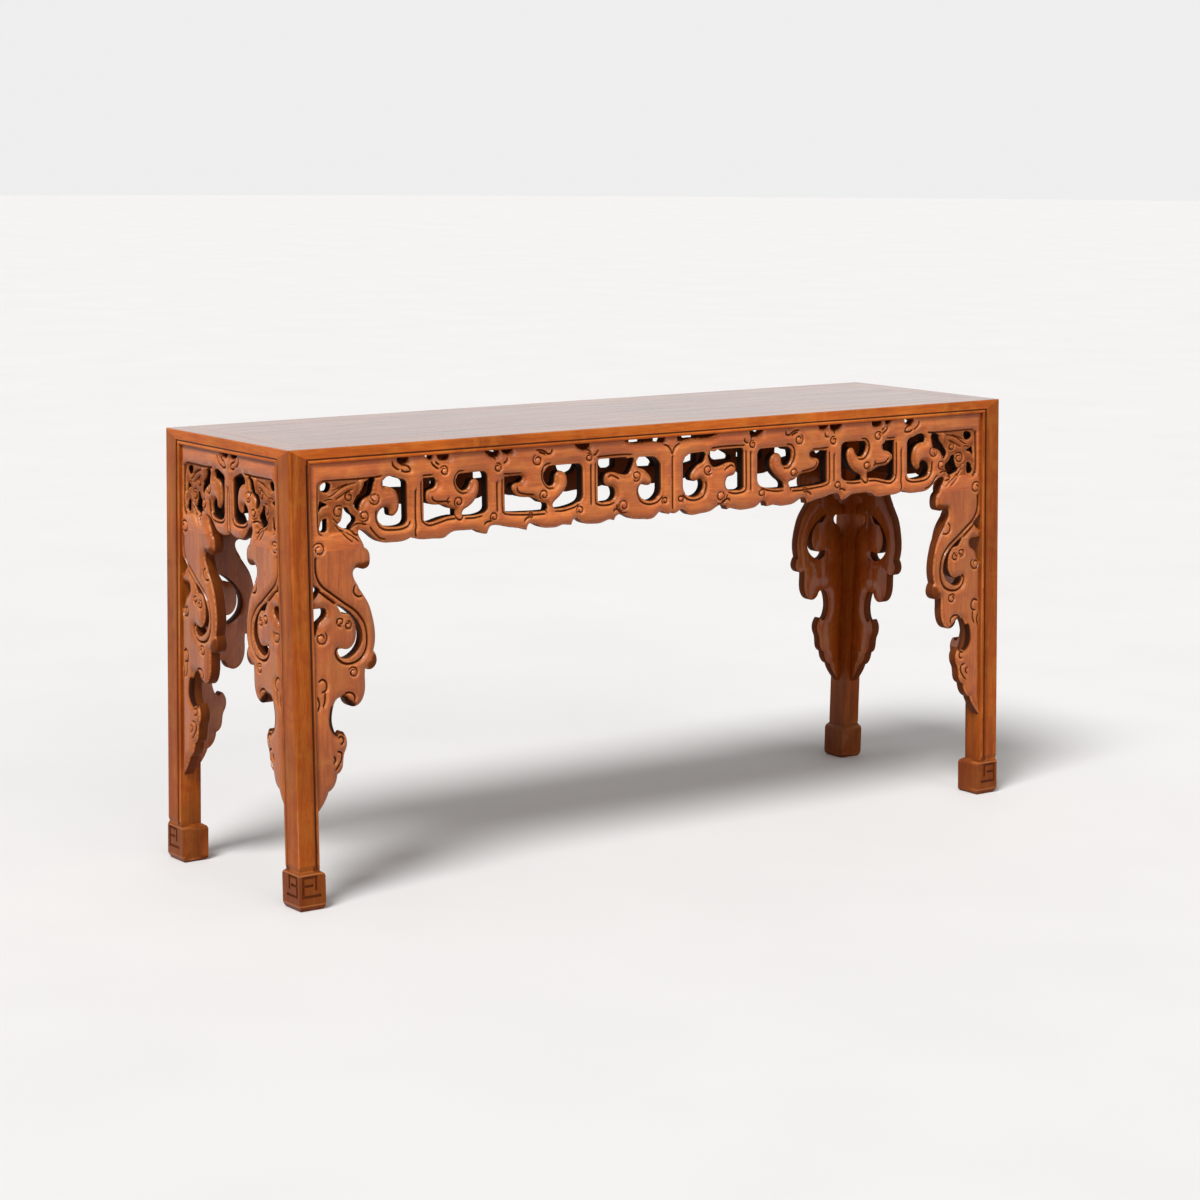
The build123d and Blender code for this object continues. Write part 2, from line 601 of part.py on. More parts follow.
# ---- The pieces that repeat in the table's corners, and those that repeat on its sides -
corners = {
    "front_left": (),
    "front_right": (Plane.YZ,),
    "back_left": (Plane.XZ,),
    "back_right": (Plane.YZ, Plane.XZ),
}
repeats = [
    (pattern, f"{corner}_{stem}", planes)
    for corner, planes in corners.items()
    for stem, pattern in (
        ("leg", leg), ("apron", long_apron), ("spandrel", long_spandrel), ("end_spandrel", end_spandrel)
    )
]
repeats += [(long_rail, "front_rail", ()), (long_rail, "back_rail", (Plane.XZ,))]
for stem, pattern in (("end_rail", end_rail), ("end_apron", end_apron)):
    repeats += [(pattern, f"left_{stem}", ()), (pattern, f"right_{stem}", (Plane.YZ,))]
for pattern, name, planes in repeats:
    with BuildPart() as piece:
        add(pattern.part)
        for plane in planes:
            mirror(about=plane, mode=Mode.REPLACE)
    save(piece, name)
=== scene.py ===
"""Altar table: carved relief, fret feet, lacquered wood, studio light and camera."""

import math

import bmesh
import bpy
import numpy as np
from mathutils import Euler, Matrix, Vector, geometry, kdtree


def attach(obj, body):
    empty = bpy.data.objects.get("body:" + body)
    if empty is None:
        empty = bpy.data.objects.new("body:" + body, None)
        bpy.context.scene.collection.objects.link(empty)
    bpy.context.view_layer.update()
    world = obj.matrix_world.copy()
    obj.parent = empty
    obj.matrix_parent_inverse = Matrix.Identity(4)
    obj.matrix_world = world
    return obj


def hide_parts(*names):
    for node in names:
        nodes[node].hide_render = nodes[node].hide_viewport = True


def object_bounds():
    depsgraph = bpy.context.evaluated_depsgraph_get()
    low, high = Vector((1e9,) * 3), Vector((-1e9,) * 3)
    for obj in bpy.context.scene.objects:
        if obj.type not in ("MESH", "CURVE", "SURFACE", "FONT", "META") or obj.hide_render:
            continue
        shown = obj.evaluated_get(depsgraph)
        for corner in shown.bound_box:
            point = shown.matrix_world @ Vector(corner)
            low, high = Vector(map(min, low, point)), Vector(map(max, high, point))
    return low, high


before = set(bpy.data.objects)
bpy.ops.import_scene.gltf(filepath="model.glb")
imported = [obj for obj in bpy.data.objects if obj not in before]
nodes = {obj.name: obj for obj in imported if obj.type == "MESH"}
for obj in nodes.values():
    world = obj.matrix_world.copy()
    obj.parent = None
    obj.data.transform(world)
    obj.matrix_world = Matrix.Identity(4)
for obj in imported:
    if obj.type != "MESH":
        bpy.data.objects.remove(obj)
cad_low, cad_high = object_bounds()

# ---- Sizes of the frame that the relief follows, in millimetres ----
MM = 0.001
half_length, feet_half_depth, table_height = (round(reach / MM, 3) for reach in cad_high)
outward_run = 22.0  # of the front and back, from the top to the feet
half_depth = feet_half_depth - outward_run  # at the top
lean = outward_run / table_height
leg_width = 45.0
leg_depth = 50.0
rail_height = 27.0
apron_height = 159.0
carving_recess = 3.0
carving_thickness = 26.0
joint_drop = rail_height + apron_height
spandrel_top_width = 114.0
long_half = half_length - leg_width
end_half_at_top = half_depth - leg_depth
drawn_post = 223.0  # first post of the front pattern; the ends repeat the bay before it
joint_slack = 0.4  # an outline this near to a member or a joint line lies on it
joint_end_slack = 0.5

# ---- Relief settings, in millimetres ----
apron_roll = (8.0, 5.0)  # width and depth of the rounding along an apron's lower outline
spandrel_roll = (6.0, 4.0)  # and along a spandrel's free edge
hole_roll = (2.6, 2.0)  # and round the openings of the frames
scroll_roll = (10.0, 6.0)  # and round the scrolls that stand in them
scroll_fade = 4.0
leaf_field_fade = 3.0
pillow_width = 16.0
pillow_depth = 3.6
valley_width = 8.5  # soft hollow on both sides of a cut line
valley_depth = 2.6
groove_cut = (2.5, 3.0)  # half width and depth of a cut line
groove_steepness = 1.5
groove_spread = 1.5  # how much further a groove's stain and painted shade reaches
groove_end = 1.5  # how far into its fade a cut line ends
groove_fade = 6.0
vein_cut = (1.7, 2.8)
spiral_cut = (1.9, 2.6)
spiral_turns = 1.25
spiral_points = 22  # for each turn
spiral_end = 0.38  # share of its radius where a spiral ends
dome_height = 1.2
dome_share = 0.9  # of its spiral's radius
ribbon_cut = (3.0, 4.0)
slit_cut = (2.4, 6.0)
ridge_gap = 1.0  # from a cut line's side to the ridge beside it, rubbed and given a painted highlight
ridge_width = 2.0
ridge_wear_and_highlight = 0.7
rim_gap = 2.0  # from an edge to its rim, rubbed and given a painted highlight
rim_width = 1.8
wall_middle = -11.0  # level of the points half way down a wall
back_chamfer = 0.8
sharp_turn = math.radians(48)  # edges of the carving that turn more are shaded sharp

# ---- Stains and painted shade, from 0 to 1, and their reach in millimetres ----
opening_stains_and_shade = {"apron": 1.0, "spandrel": 0.72}  # painted shade and dark unpolished wood on the walls inside the openings
outline_stains_and_shade = {"apron": 0.66, "spandrel": 0.6}  # and painted shade with dark wood on the walls of the outer sides
back_shades = {"apron": (0.8, 0.8), "spandrel": (0.45, 0.0)}  # painted shade on the flat backs, at the top and lower down
back_shade_fade = (200.0, 380.0)  # drops between which the painted shade on the backs changes
# painted shade along the edges of the openings and the outline
edge_shade = 0.7
edge_shade_width = 1.2
member_stain = 0.3
member_stain_width = 2.0
# dark stain and painted shade in the cut lines
groove_stain_and_shade = 0.75
# painted shade with some dirt on the curl tips
tip_shade_and_dirt = 0.6
# painted shade under the hooks and along shaded rounded edges
rim_shade = 0.95
relief_shade = 0.42  # painted shade in the low parts of the relief
relief_shade_depths = (1.2, 5.0)

# ---- Spacing of the points of a carved piece, in millimetres ----
merge_scale = 100  # corners in the same hundredth of a millimetre are one
facing_cosine = 0.9995  # polygons that face as the carving does
flat_slack = 0.05
outline_step = 2.0
corner_turn = 24.0  # degrees; a sharper turn in an outline stays a corner
edge_step = 0.5  # between the edge points that distances go to
inner_rows = (0.5, 1.7, 3.4, 5.8)
row_clearance = 0.93  # share of its distance that a row keeps from every edge
row_gap = 0.6 * outline_step
row_memory = 4000  # latest points that a new row is held against
stroke_rows = (0.0, 1.1, 2.4)
stroke_gap = 0.8
stroke_clearance = 0.6
fill_step = 2.6
fill_row = fill_step * 0.866
fill_clearance = 0.8 * fill_step
fill_gap = 0.72 * fill_step


# ---- Small curve helpers ----
def smooth_curve(points):
    """Catmull-Rom curve through the points, sampled about every millimetre."""
    points = np.array(points, float)
    if len(points) < 3:
        count = max(2, int(np.linalg.norm(points[-1] - points[0])))
        share = np.linspace(0, 1, count + 1)[:, None]
        return points[0] * (1 - share) + points[-1] * share
    knots = np.vstack([2 * points[0] - points[1], points, 2 * points[-1] - points[-2]])
    samples = []
    for p0, p1, p2, p3 in zip(knots, knots[1:], knots[2:], knots[3:]):
        line = p2 - p0
        square = 2 * p0 - 5 * p1 + 4 * p2 - p3
        cube = 3 * p1 - p0 - 3 * p2 + p3
        count = max(2, int(np.linalg.norm(p2 - p1)))
        for t in np.linspace(0, 1, count, endpoint=False):
            samples.append(0.5 * (2 * p1 + line * t + square * t**2 + cube * t**3))
    return np.array([*samples, points[-1]])


def spiral(centre, radius, start, sense):
    """Points of a spiral that starts on the radius and winds inward."""
    share = np.linspace(0, 1, int(spiral_points * spiral_turns))
    angle = math.radians(start) + sense * share * spiral_turns * 2 * math.pi
    reach = radius * (1 - (1 - spiral_end) * share)
    return np.stack([centre[0] + reach * np.cos(angle), centre[1] + reach * np.sin(angle)], 1)


def left_of(ahead):
    """Unit vectors to the left of the directions of travel."""
    ahead = ahead / np.maximum(np.linalg.norm(ahead, axis=1), 1e-9)[:, None]
    return np.stack([-ahead[:, 1], ahead[:, 0]], 1)


def left_of_loop(loop):
    return left_of(np.roll(loop, -1, 0) - np.roll(loop, 1, 0))


# ---- Chisel strokes, in (distance from the leg, drop below the piece's top edge) ----
corner_bay_strokes = [
    [(17, 36), (16, 60), (15.5, 90), (16, 118), (19, 127), (26, 131)],
    [(24, 33), (60, 33), (100, 33.5), (140, 33), (152, 31)],
    [(118, 118), (103, 115), (91, 119), (86, 126), (91, 133), (101, 136)],
    [(123, 121), (133, 133), (145, 144), (158, 148)],
    [(138, 92), (138, 110), (145, 124), (160, 131), (190, 132), (206, 127), (211, 118)],
    [(174, 6), (176, 14), (182, 20), (190, 24)],
    [(189, 8), (196, 14), (204, 16), (210, 20), (213, 26), (207, 28), (198, 27), (192, 22)],
    [(223, 60), (222, 110), (223, 128), (221, 140), (224, 150)],
]
corner_bay_veins = [
    [(38, 64), (52, 58), (64, 50), (80, 44), (98, 40)], [(50, 52), (66, 46), (82, 41)],
    [(55, 68), (68, 62), (80, 55), (92, 52)], [(30, 70), (40, 67), (48, 68)],
    [(48, 101), (58, 110), (68, 114)], [(53, 113), (63, 125), (75, 138), (88, 148)],
    [(61, 123), (78, 131), (93, 141), (101, 148)], [(68, 116), (83, 125), (95, 129)],
]
corner_bay_spirals = [
    ((83, 65.5), 9.5, -45, -1), ((61, 90.5), 12.0, -35, -1), ((135.5, 71.5), 12.0, 170, -1),
    ((112, 101.5), 11.0, 140, -1),
]
joint_spiral = ((16, 155), 13.0, 195, 1)  # carved across the joint of apron and spandrel

leaf_field = ((16, 33), (106, 129))  # lies lower than the frame round it
leaf_field_drop = 4.0
corner_bay_scrolls = [((104, 38), (199, 119))]
long_apron_scrolls = [((246, 46), (376, 117)), ((426, 46), (593, 117)), ((644, 40), (780, 119))]

long_apron_strokes = [
    [(235.5, 46), (235, 80), (235.5, 114), (240, 124), (252, 130), (272, 127), (291, 122.5),
     (311, 121.5)],
    [(238, 37), (262, 37)], [(259, 11), (261, 18), (268, 24), (275, 28)],
    [(266, 12), (271, 17), (277, 20)], [(257, 76), (261, 83), (270, 87), (288, 88), (299, 90)],
    [(295, 80), (292, 88), (296, 94)],
    [(330, 34), (318, 35), (309, 45), (308, 56), (314, 69), (325, 76), (338, 75)],
    [(306, 104), (309, 114), (313, 122), (319, 124.5), (325, 120), (327, 112)],
    [(330, 123), (350, 123.5), (370, 121)], [(402, 58), (402, 90), (402, 118)],
    [(392, 8), (398, 14), (401, 20)], [(426, 15), (424, 23), (416, 26)],
    [(371, 138), (379, 133), (391, 132)],
    [(414, 54), (413.5, 85), (414, 112), (418, 120), (432, 124), (464, 126.5), (486, 128),
     (512, 128)],
    [(416, 46), (440, 47), (458, 47)],
    [(491, 6.5), (504, 7.5), (513, 11.5), (519, 15.5), (526, 13.5), (528, 5.5)],
    [(496, 10), (508, 14), (514, 17.5)], [(447, 72), (449, 80), (456, 85), (470, 88), (488, 90)],
    [(526, 33), (513, 35), (505, 45), (504, 58), (509, 71), (519, 80.5), (533, 81)],
    [(509, 112), (511, 119), (516, 127)], [(532, 125), (552, 125.5), (575, 121.5), (592, 115)],
    [(461, 140), (468, 133), (476, 131)], [(617, 40), (617, 80), (617, 120)],
    [(606, 10), (613, 14), (618, 20)], [(634, 14), (630, 22), (622, 25)],
    [(628, 38), (627.5, 75), (628, 112), (632, 119), (644, 122), (660, 122), (674, 118)],
    [(631, 28.5), (660, 27.5), (690, 27.5), (716, 29)],
    [(811, 36), (811, 60), (811, 100), (811, 143)], [(811, 36), (807, 25), (800, 18), (790, 14)],
    [(657, 70), (665, 66), (676, 70), (684, 75)],
    [(728, 92), (727, 105), (735, 121), (753, 128), (773, 125.5), (788, 114)],
    [(668, 137), (675, 131), (688, 138)], [(676, 122), (680, 133), (690, 140), (702, 139)],
]
long_apron_spirals = [
    ((316, 90.5), 10.0, 120, 1), ((508, 91.5), 10.0, 120, 1), ((724, 70.5), 11.0, 140, -1),
    ((285.5, 31.5), 10.0, 200, 1), ((404, 33.5), 9.0, 240, 1), ((394, 124.5), 9.0, 120, 1),
    ((494, 25.5), 11.0, 250, -1), ((478, 128.5), 6.5, 120, 1), ((612, 28), 8.5, 240, 1),
    ((590.5, 126.5), 8.5, 120, 1), ((693, 125.5), 12.0, 100, 1), ((792, 123.5), 7.5, 120, 1),
]

spandrel_ribbon = [
    (9, 9), (9, 34), (14, 52), (25, 66), (41, 78), (56, 89), (71, 100), (86, 110), (99, 123),
    (109, 139), (113, 159), (112, 179), (105, 195), (93, 205), (76, 209), (61, 206), (50, 196),
    (47, 184), (53, 176),
]
spandrel_strokes = [
    [(93, 65), (88, 71), (87, 78), (90, 84), (97, 88), (107, 87)],
    [(8, 236), (18, 232), (26, 240), (24, 252), (14, 256)], [(6, 262), (10, 276), (6, 290)],
    [(22, 256), (22, 270), (17, 284)], [(62, 263), (71, 261), (80, 264), (85, 271), (83, 279)],
    [(47, 344), (54, 341), (59, 346), (57, 353), (51, 354)],
    [(44, 366), (54, 371), (53, 384), (46, 395), (39, 402)], [(37, 374), (41, 382), (36, 390)],
]
# runs of painted shade under the spandrel's hooks and curl tips: points, reach, strength
spandrel_shade_runs = [
    ([(122, 216), (127, 212), (130, 205)], 13.0, tip_shade_and_dirt),
    ([(97, 34), (107, 34), (117, 31)], 10.0, tip_shade_and_dirt),
    ([(62, 269), (70, 278), (80, 285)], 8.0, rim_shade),
    ([(37, 288), (35, 298), (34, 308), (35, 318), (40, 328), (48, 335), (56, 336)], 8.0, rim_shade),
]
spandrel_slit = [(16, 72), (26, 80), (38, 89), (50, 98)]
spandrel_spirals = [
    ((17, 157), 12.5, 300, 1), ((57, 130), 8.5, 60, 1), ((73, 138), 8.5, 240, 1),
    ((82, 225), 10.5, 200, 1),
]


# ---- Reading the flat carved faces of the CAD nodes ----
def points_of(mesh):
    """The mesh's points, in millimetres."""
    places = np.empty(len(mesh.vertices) * 3)
    mesh.vertices.foreach_get("co", places)
    return places.reshape(-1, 3) / MM


def mesh_arrays(mesh):
    """Corner points in millimetres, merged by place, and each polygon's corner numbers."""
    keys = np.round(points_of(mesh) * merge_scale).astype(int)
    merged, number = np.unique(keys, axis=0, return_inverse=True)
    number = number.ravel()
    polygons = [[int(number[v]) for v in polygon.vertices] for polygon in mesh.polygons]
    return merged / merge_scale, polygons


def outermost_polygons(mesh, points, polygons, normal):
    """Polygons of the flat face that lies furthest out along the normal."""
    normal = np.array(normal) / np.linalg.norm(normal)
    facing = [
        (float((points[corners] @ normal).mean()), corners)
        for polygon, corners in zip(mesh.polygons, polygons)
        if np.dot(polygon.normal, normal) > facing_cosine
    ]
    outermost = max(level for level, _ in facing)
    return [corners for level, corners in facing if level > outermost - flat_slack]


def boundary_loops(polygons):
    """Closed loops of corner numbers round a patch of polygons."""
    edges = {edge for corners in polygons for edge in zip(corners, corners[1:] + corners[:1])}
    following = {}
    for i, j in sorted(edges):
        if (j, i) not in edges:
            following.setdefault(i, []).append(j)
    loops = []
    while following:
        start = at = next(iter(following))
        loops.append([])
        while not loops[-1] or at != start:
            loops[-1].append(at)
            choices = following[at]
            if len(choices) == 1:
                del following[at]
            at = choices.pop()
    return loops


def resampled(loop):
    """The closed loop at even steps, with its corners kept."""
    gap = np.linalg.norm(np.roll(loop, -1, 0) - loop, axis=1)
    loop = loop[gap > flat_slack]
    ahead = np.roll(loop, -1, 0) - loop
    length = np.linalg.norm(ahead, axis=1)
    heading = np.arctan2(ahead[:, 1], ahead[:, 0])
    turn = (heading - np.roll(heading, 1) + math.pi) % (2 * math.pi) - math.pi
    corners = list(np.flatnonzero(np.degrees(np.abs(turn)) > corner_turn)) or [0]
    result = []
    for begin, finish in zip(corners, corners[1:] + corners[:1]):
        if finish <= begin:
            finish += len(loop)
        ids = [i % len(loop) for i in range(begin, finish + 1)]
        travel = np.concatenate([[0], np.cumsum(length[ids[:-1]])])
        count = max(1, int(round(travel[-1] / outline_step)))
        at = np.linspace(0, travel[-1], count, endpoint=False)
        result.append(np.stack([np.interp(at, travel, loop[ids, k]) for k in (0, 1)], 1))
    return np.vstack(result)


def carved_outlines(node, normal, flatten):
    """Even outlines of a node's carved face, in the plane coordinates that flatten gives."""
    mesh = nodes[node].data
    points, polygons = mesh_arrays(mesh)
    face = outermost_polygons(mesh, points, polygons, normal)
    return [resampled(flatten(points[loop])) for loop in boundary_loops(face)]


# ---- Height of the relief ----
def edge_tree(loops, keep=lambda a, v: True):
    """Search tree of close points along the loops' edges whose middle passes keep."""
    points = []
    for loop in loops:
        for start, end in zip(loop, np.roll(loop, -1, 0)):
            if keep(*((start + end) / 2)):
                count = max(1, int(np.linalg.norm(end - start) / edge_step))
                share = np.linspace(0, 1, count, endpoint=False)[:, None]
                points.extend(start * (1 - share) + end * share)
    tree = kdtree.KDTree(len(points))
    for i, (a, v) in enumerate(points):
        tree.insert((a, v, 0.0), i)
    tree.balance()
    return tree


def distances(tree, points):
    return np.array([tree.find((a, v, 0.0))[2] for a, v in points])


def inside(points, loops):
    """Even-odd test of points against all the loops, a chunk of close drops at a time."""
    starts = np.vstack(loops)
    ends = np.vstack([np.roll(loop, -1, 0) for loop in loops])
    low_end = np.minimum(starts[:, 1], ends[:, 1])
    high_end = np.maximum(starts[:, 1], ends[:, 1])
    result = np.zeros(len(points), bool)
    order = np.argsort(points[:, 1])
    chunk = 400
    for k in range(0, len(order), chunk):
        ids = order[k : k + chunk]
        a, v = points[ids, 0, None], points[ids, 1, None]
        near = (low_end <= v.max()) & (high_end >= v.min())
        (sa, sv), (ea, ev) = starts[near].T, ends[near].T
        run = ev - sv
        run[run == 0] = 1e-9
        crossing = sa + (v - sv) * ((ea - sa) / run)
        passed = ((sv > v) != (ev > v)) & (a < crossing)
        result[ids] = passed.sum(1) % 2 == 1
    return result


def smoothstep(x):
    x = np.clip(x, 0, 1)
    return x * x * (3 - 2 * x)


def stroke_distance(points, stroke):
    """Distance of points from a polyline, how far along it they lie, and its length."""
    starts, ends = stroke[:-1], stroke[1:]
    run = ends - starts
    length = np.maximum(np.linalg.norm(run, axis=1), 1e-6)
    offset = points[:, None] - starts[None]
    share = np.clip((offset * run[None]).sum(2) / length**2, 0, 1)
    gap = np.linalg.norm(offset - share[..., None] * run[None], axis=2)
    nearest = gap.argmin(1)
    each = np.arange(len(points))
    travel = np.concatenate([[0], np.cumsum(length)])
    along = travel[nearest] + share[each, nearest] * length[nearest]
    return gap[each, nearest], along, travel[-1]


def rolled(gap, roll):
    """Drop of an edge rounded over a width and a depth, for points at a gap from it."""
    width, depth = roll
    share = np.clip(1 - gap / width, 0, 1)
    return depth * (1 - np.sqrt(1 - share**2))


def share_in_boxes(points, boxes, fade):
    """1 where a point lies well inside one of the boxes, fading to 0 at its sides."""
    share = np.zeros(len(points))
    for low, high in boxes:
        inset = np.minimum(points - np.array(low), np.array(high) - points).min(1)
        share = np.maximum(share, smoothstep(inset / fade))
    return share


def relief_height(points, gaps, outer_roll, scroll, cuts, domes):
    """Height over the flat face, share in a groove and share on a ridge beside one."""
    outer_gap, hole_gap, edge_gap = gaps
    around_hole = rolled(hole_gap, hole_roll) * (1 - scroll) + rolled(hole_gap, scroll_roll) * scroll
    height = -np.maximum(rolled(outer_gap, outer_roll), around_hole)
    pillow = pillow_depth * (1 - smoothstep(edge_gap / pillow_width))
    hollow, ridge, grooves = np.zeros((3, len(points)))
    for centre, radius in domes:
        gap = np.linalg.norm(points - np.array(centre), axis=1)
        height += dome_height * np.clip(1 - (gap / radius) ** 2, 0, 1)
    for stroke, half_width, depth in cuts:
        reach = valley_width * half_width / groove_cut[0]
        low, high = stroke.min(0) - reach, stroke.max(0) + reach
        near = np.flatnonzero(((points > low) & (points < high)).all(1))
        if not len(near):
            continue
        gap, along, total = stroke_distance(points[near], stroke)
        fade = smoothstep((np.minimum(along, total - along) + groove_end) / groove_fade)
        valley = valley_depth * depth / groove_cut[1] * (1 - smoothstep(gap / reach)) * fade
        pillow[near] = np.maximum(pillow[near], valley)
        groove = np.clip(1 - (gap / half_width) ** 2, 0, 1) ** groove_steepness * fade
        grooves[near] = np.maximum(grooves[near], depth * groove)
        hollow[near] = np.maximum(hollow[near], np.clip(groove_spread * groove, 0, 1))
        beside = np.clip(1 - np.abs(gap - half_width - ridge_gap) / ridge_width, 0, 1) * fade
        ridge[near] = np.maximum(ridge[near], beside)
    return height - pillow - grooves, hollow, ridge * (1 - hollow)


def face_marks(front, height, hollow, ridge, gaps, outer_roll, shade_runs):
    """Stain with painted shade, and wear with painted highlights, of the points of a carved face."""
    outer_gap, hole_gap, edge_gap = gaps
    gap = np.minimum(outer_gap, hole_gap)
    # painted shade along the edges
    beside_edge = edge_shade * np.clip(1 - gap / edge_shade_width, 0, 1)
    beside_member = member_stain * np.clip(1 - edge_gap / member_stain_width, 0, 1)
    # painted shade in the low parts of the relief
    shallow, deep = relief_shade_depths
    sunk = smoothstep((-height - shallow) / (deep - shallow))
    sunk *= np.clip(outer_gap / outer_roll[0], 0, 1)
    stain_and_shade = np.max([beside_edge, beside_member, relief_shade * sunk, groove_stain_and_shade * hollow], 0)
    darkened = np.zeros(len(front))
    # painted shade along the shade runs, which also keeps the painted highlight off them
    for run, reach, strength in shade_runs:
        share = smoothstep(2 * (1 - stroke_distance(front, run)[0] / reach))
        darkened = np.maximum(darkened, share)
        stain_and_shade = np.maximum(stain_and_shade, strength * share)
    # rims and ridges get wear and a painted highlight
    rim = np.clip(1 - np.abs(gap - rim_gap) / rim_width, 0, 1) * (1 - hollow) * (1 - darkened)
    return stain_and_shade, np.maximum(rim, ridge_wear_and_highlight * ridge)


# ---- Meshing a carved piece ----
def thinned(candidates, taken, gap):
    """Candidates that keep the gap from each other and from the points already taken."""
    grid = {}
    kept = []
    for a, v in taken:
        grid.setdefault((int(a // gap), int(v // gap)), []).append((a, v))
    for a, v in candidates:
        i, j = int(a // gap), int(v // gap)
        cells = [(i + di, j + dj) for di in (-1, 0, 1) for dj in (-1, 0, 1)]
        near = (point for cell in cells for point in grid.get(cell, ()))
        if all((a - b) ** 2 + (v - w) ** 2 >= gap * gap for b, w in near):
            kept.append((a, v))
            grid.setdefault((i, j), []).append((a, v))
    return kept


def fill_points(loops):
    """Even triangular grid over the box of the outlines."""
    low, high = np.vstack(loops).min(0), np.vstack(loops).max(0)
    across = np.arange(low[0], high[0], fill_step)
    lines = []
    for k, v in enumerate(np.arange(low[1], high[1], fill_row)):
        line = across + (k % 2) * fill_step / 2
        lines.append(np.stack([line, np.full(len(line), v)], 1))
    return np.vstack(lines)


def face_points(loops, cuts, tree):
    """Points inside the outlines: rows along edges and cuts, then an even fill."""
    points = []

    def add(row, clearance, gap, memory=0):
        row = row[inside(row, loops)]
        row = row[distances(tree, row) > clearance]
        points.extend(thinned(row, points[-memory:], gap))

    for loop in loops:
        left = left_of_loop(loop)
        for offset in inner_rows:
            for side in (-1, 1):
                add(loop + side * offset * left, row_clearance * offset, row_gap, row_memory)
    for stroke, half_width, _ in cuts:
        stroke = stroke[::2]
        left = left_of(np.gradient(stroke, axis=0))
        for offset in stroke_rows:
            for side in (-1, 1) if offset else (1,):
                reach = side * offset * (half_width / stroke_rows[-1])
                add(stroke + reach * left, stroke_clearance, stroke_gap)
    add(fill_points(loops), fill_clearance, fill_gap)
    return np.array(points)


def triangles_of(points, loops):
    """Constrained triangles inside the outlines, and the point each placed one came from."""
    edges = []
    begin = 0
    for loop in loops:
        edges += [(begin + i, begin + (i + 1) % len(loop)) for i in range(len(loop))]
        begin += len(loop)
    flat = [Vector(p) for p in points]
    placed, _, faces, origin, _, _ = geometry.delaunay_2d_cdt(flat, edges, [], 0, 1e-7)
    placed = np.array([tuple(p) for p in placed])
    faces = np.array(faces)
    faces = faces[inside(placed[faces].mean(1), loops)]
    return placed, faces, [ids[0] if len(ids) else -1 for ids in origin]


def drawn_back(loop, loops):
    """The outline drawn back into the wood by the back chamfer, for its back edge."""
    step = left_of_loop(loop) * back_chamfer
    into_wood = inside(loop + step * 0.5, loops).mean() > 0.5
    return loop + step if into_wood else loop - step


def add_walls_and_back(kind, loops, longest, raise_up, origin, points, polygons, stains_and_shade):
    """Adds rings of points down the walls and closes them with the flat back."""
    number = {o: i for i, o in enumerate(origin) if o >= 0}
    begin, total = 0, len(stains_and_shade[0])
    back_loops, back_ids = [], []
    for loop in loops:
        size = len(loop)
        above = [number[begin + i] for i in range(size)]
        begin += size
        # painted shade together with dark stain on the walls
        wall_stain_and_shade = np.full(size, (outline_stains_and_shade if loop is longest else opening_stains_and_shade)[kind])
        back = drawn_back(loop, loops)
        # painted shade on the flat back, set by its drop
        back_shade = np.interp(back[:, 1], back_shade_fade, back_shades[kind])
        for ring, level, stain_and_shade in (
            (loop, wall_middle, wall_stain_and_shade),
            (loop, back_chamfer - carving_thickness, wall_stain_and_shade),
            (back, -carving_thickness, back_shade),
        ):
            points.append(raise_up(ring, np.full(size, level)))
            stains_and_shade.append(stain_and_shade)
            below = list(range(total, total + size))
            polygons += zip(above, below, below[1:] + below[:1], above[1:] + above[:1])
            total += size
            above = below
        back_loops.append(back)
        back_ids += above
    _, back_faces, origin = triangles_of(np.vstack(back_loops), back_loops)
    for face in back_faces:
        corners = [back_ids[origin[i]] for i in face if origin[i] >= 0]
        if len(corners) == 3:
            polygons.append(tuple(reversed(corners)))


def carved_mesh(node, side, outer_roll, cuts, domes, scrolls=(), leaves=(), shade_runs=()):
    """Points, faces, stain with painted shade, and wear with painted highlights, of a carved piece
    in its own place.
    """
    normal, flatten, raise_up, joint = side
    loops = carved_outlines(node, normal, flatten)
    longest = max(loops, key=len)
    inner = face_points(loops, cuts, edge_tree(loops))
    front, faces, origin = triangles_of(np.vstack([*loops, inner]), loops)
    trees = (
        edge_tree([longest], lambda a, v: joint(a, v) == "free"),
        edge_tree([loop for loop in loops if loop is not longest]),
        edge_tree(loops, lambda a, v: joint(a, v) != "continues"),
    )
    gaps = [distances(tree, front) for tree in trees]
    scroll = share_in_boxes(front, scrolls, scroll_fade)
    height, hollow, ridge = relief_height(front, gaps, outer_roll, scroll, cuts, domes)
    height -= leaf_field_drop * share_in_boxes(front, leaves, leaf_field_fade)
    stain_and_shade, wear_and_highlight = face_marks(front, height, hollow, ridge, gaps, outer_roll, shade_runs)
    points, polygons, stains_and_shade = [raise_up(front, height)], [tuple(face) for face in faces], [stain_and_shade]
    kind = node.split("_")[-1]
    add_walls_and_back(kind, loops, longest, raise_up, origin, points, polygons, stains_and_shade)
    points = np.vstack(points) * MM
    wear_and_highlight = np.concatenate([wear_and_highlight, np.zeros(len(points) - len(wear_and_highlight))])
    return points, polygons, np.concatenate(stains_and_shade), wear_and_highlight


# ---- Objects ----
def linked(name, data):
    piece = bpy.data.objects.new(name, data)
    bpy.context.collection.objects.link(piece)
    return piece


def edit_mesh(mesh, change, source=None):
    """Puts a mesh, or the source in its stead, through a bmesh change."""
    model = bmesh.new()
    model.from_mesh(source or mesh)
    change(model)
    model.to_mesh(mesh)
    model.free()


def face_outward(model):
    bmesh.ops.recalc_face_normals(model, faces=model.faces)


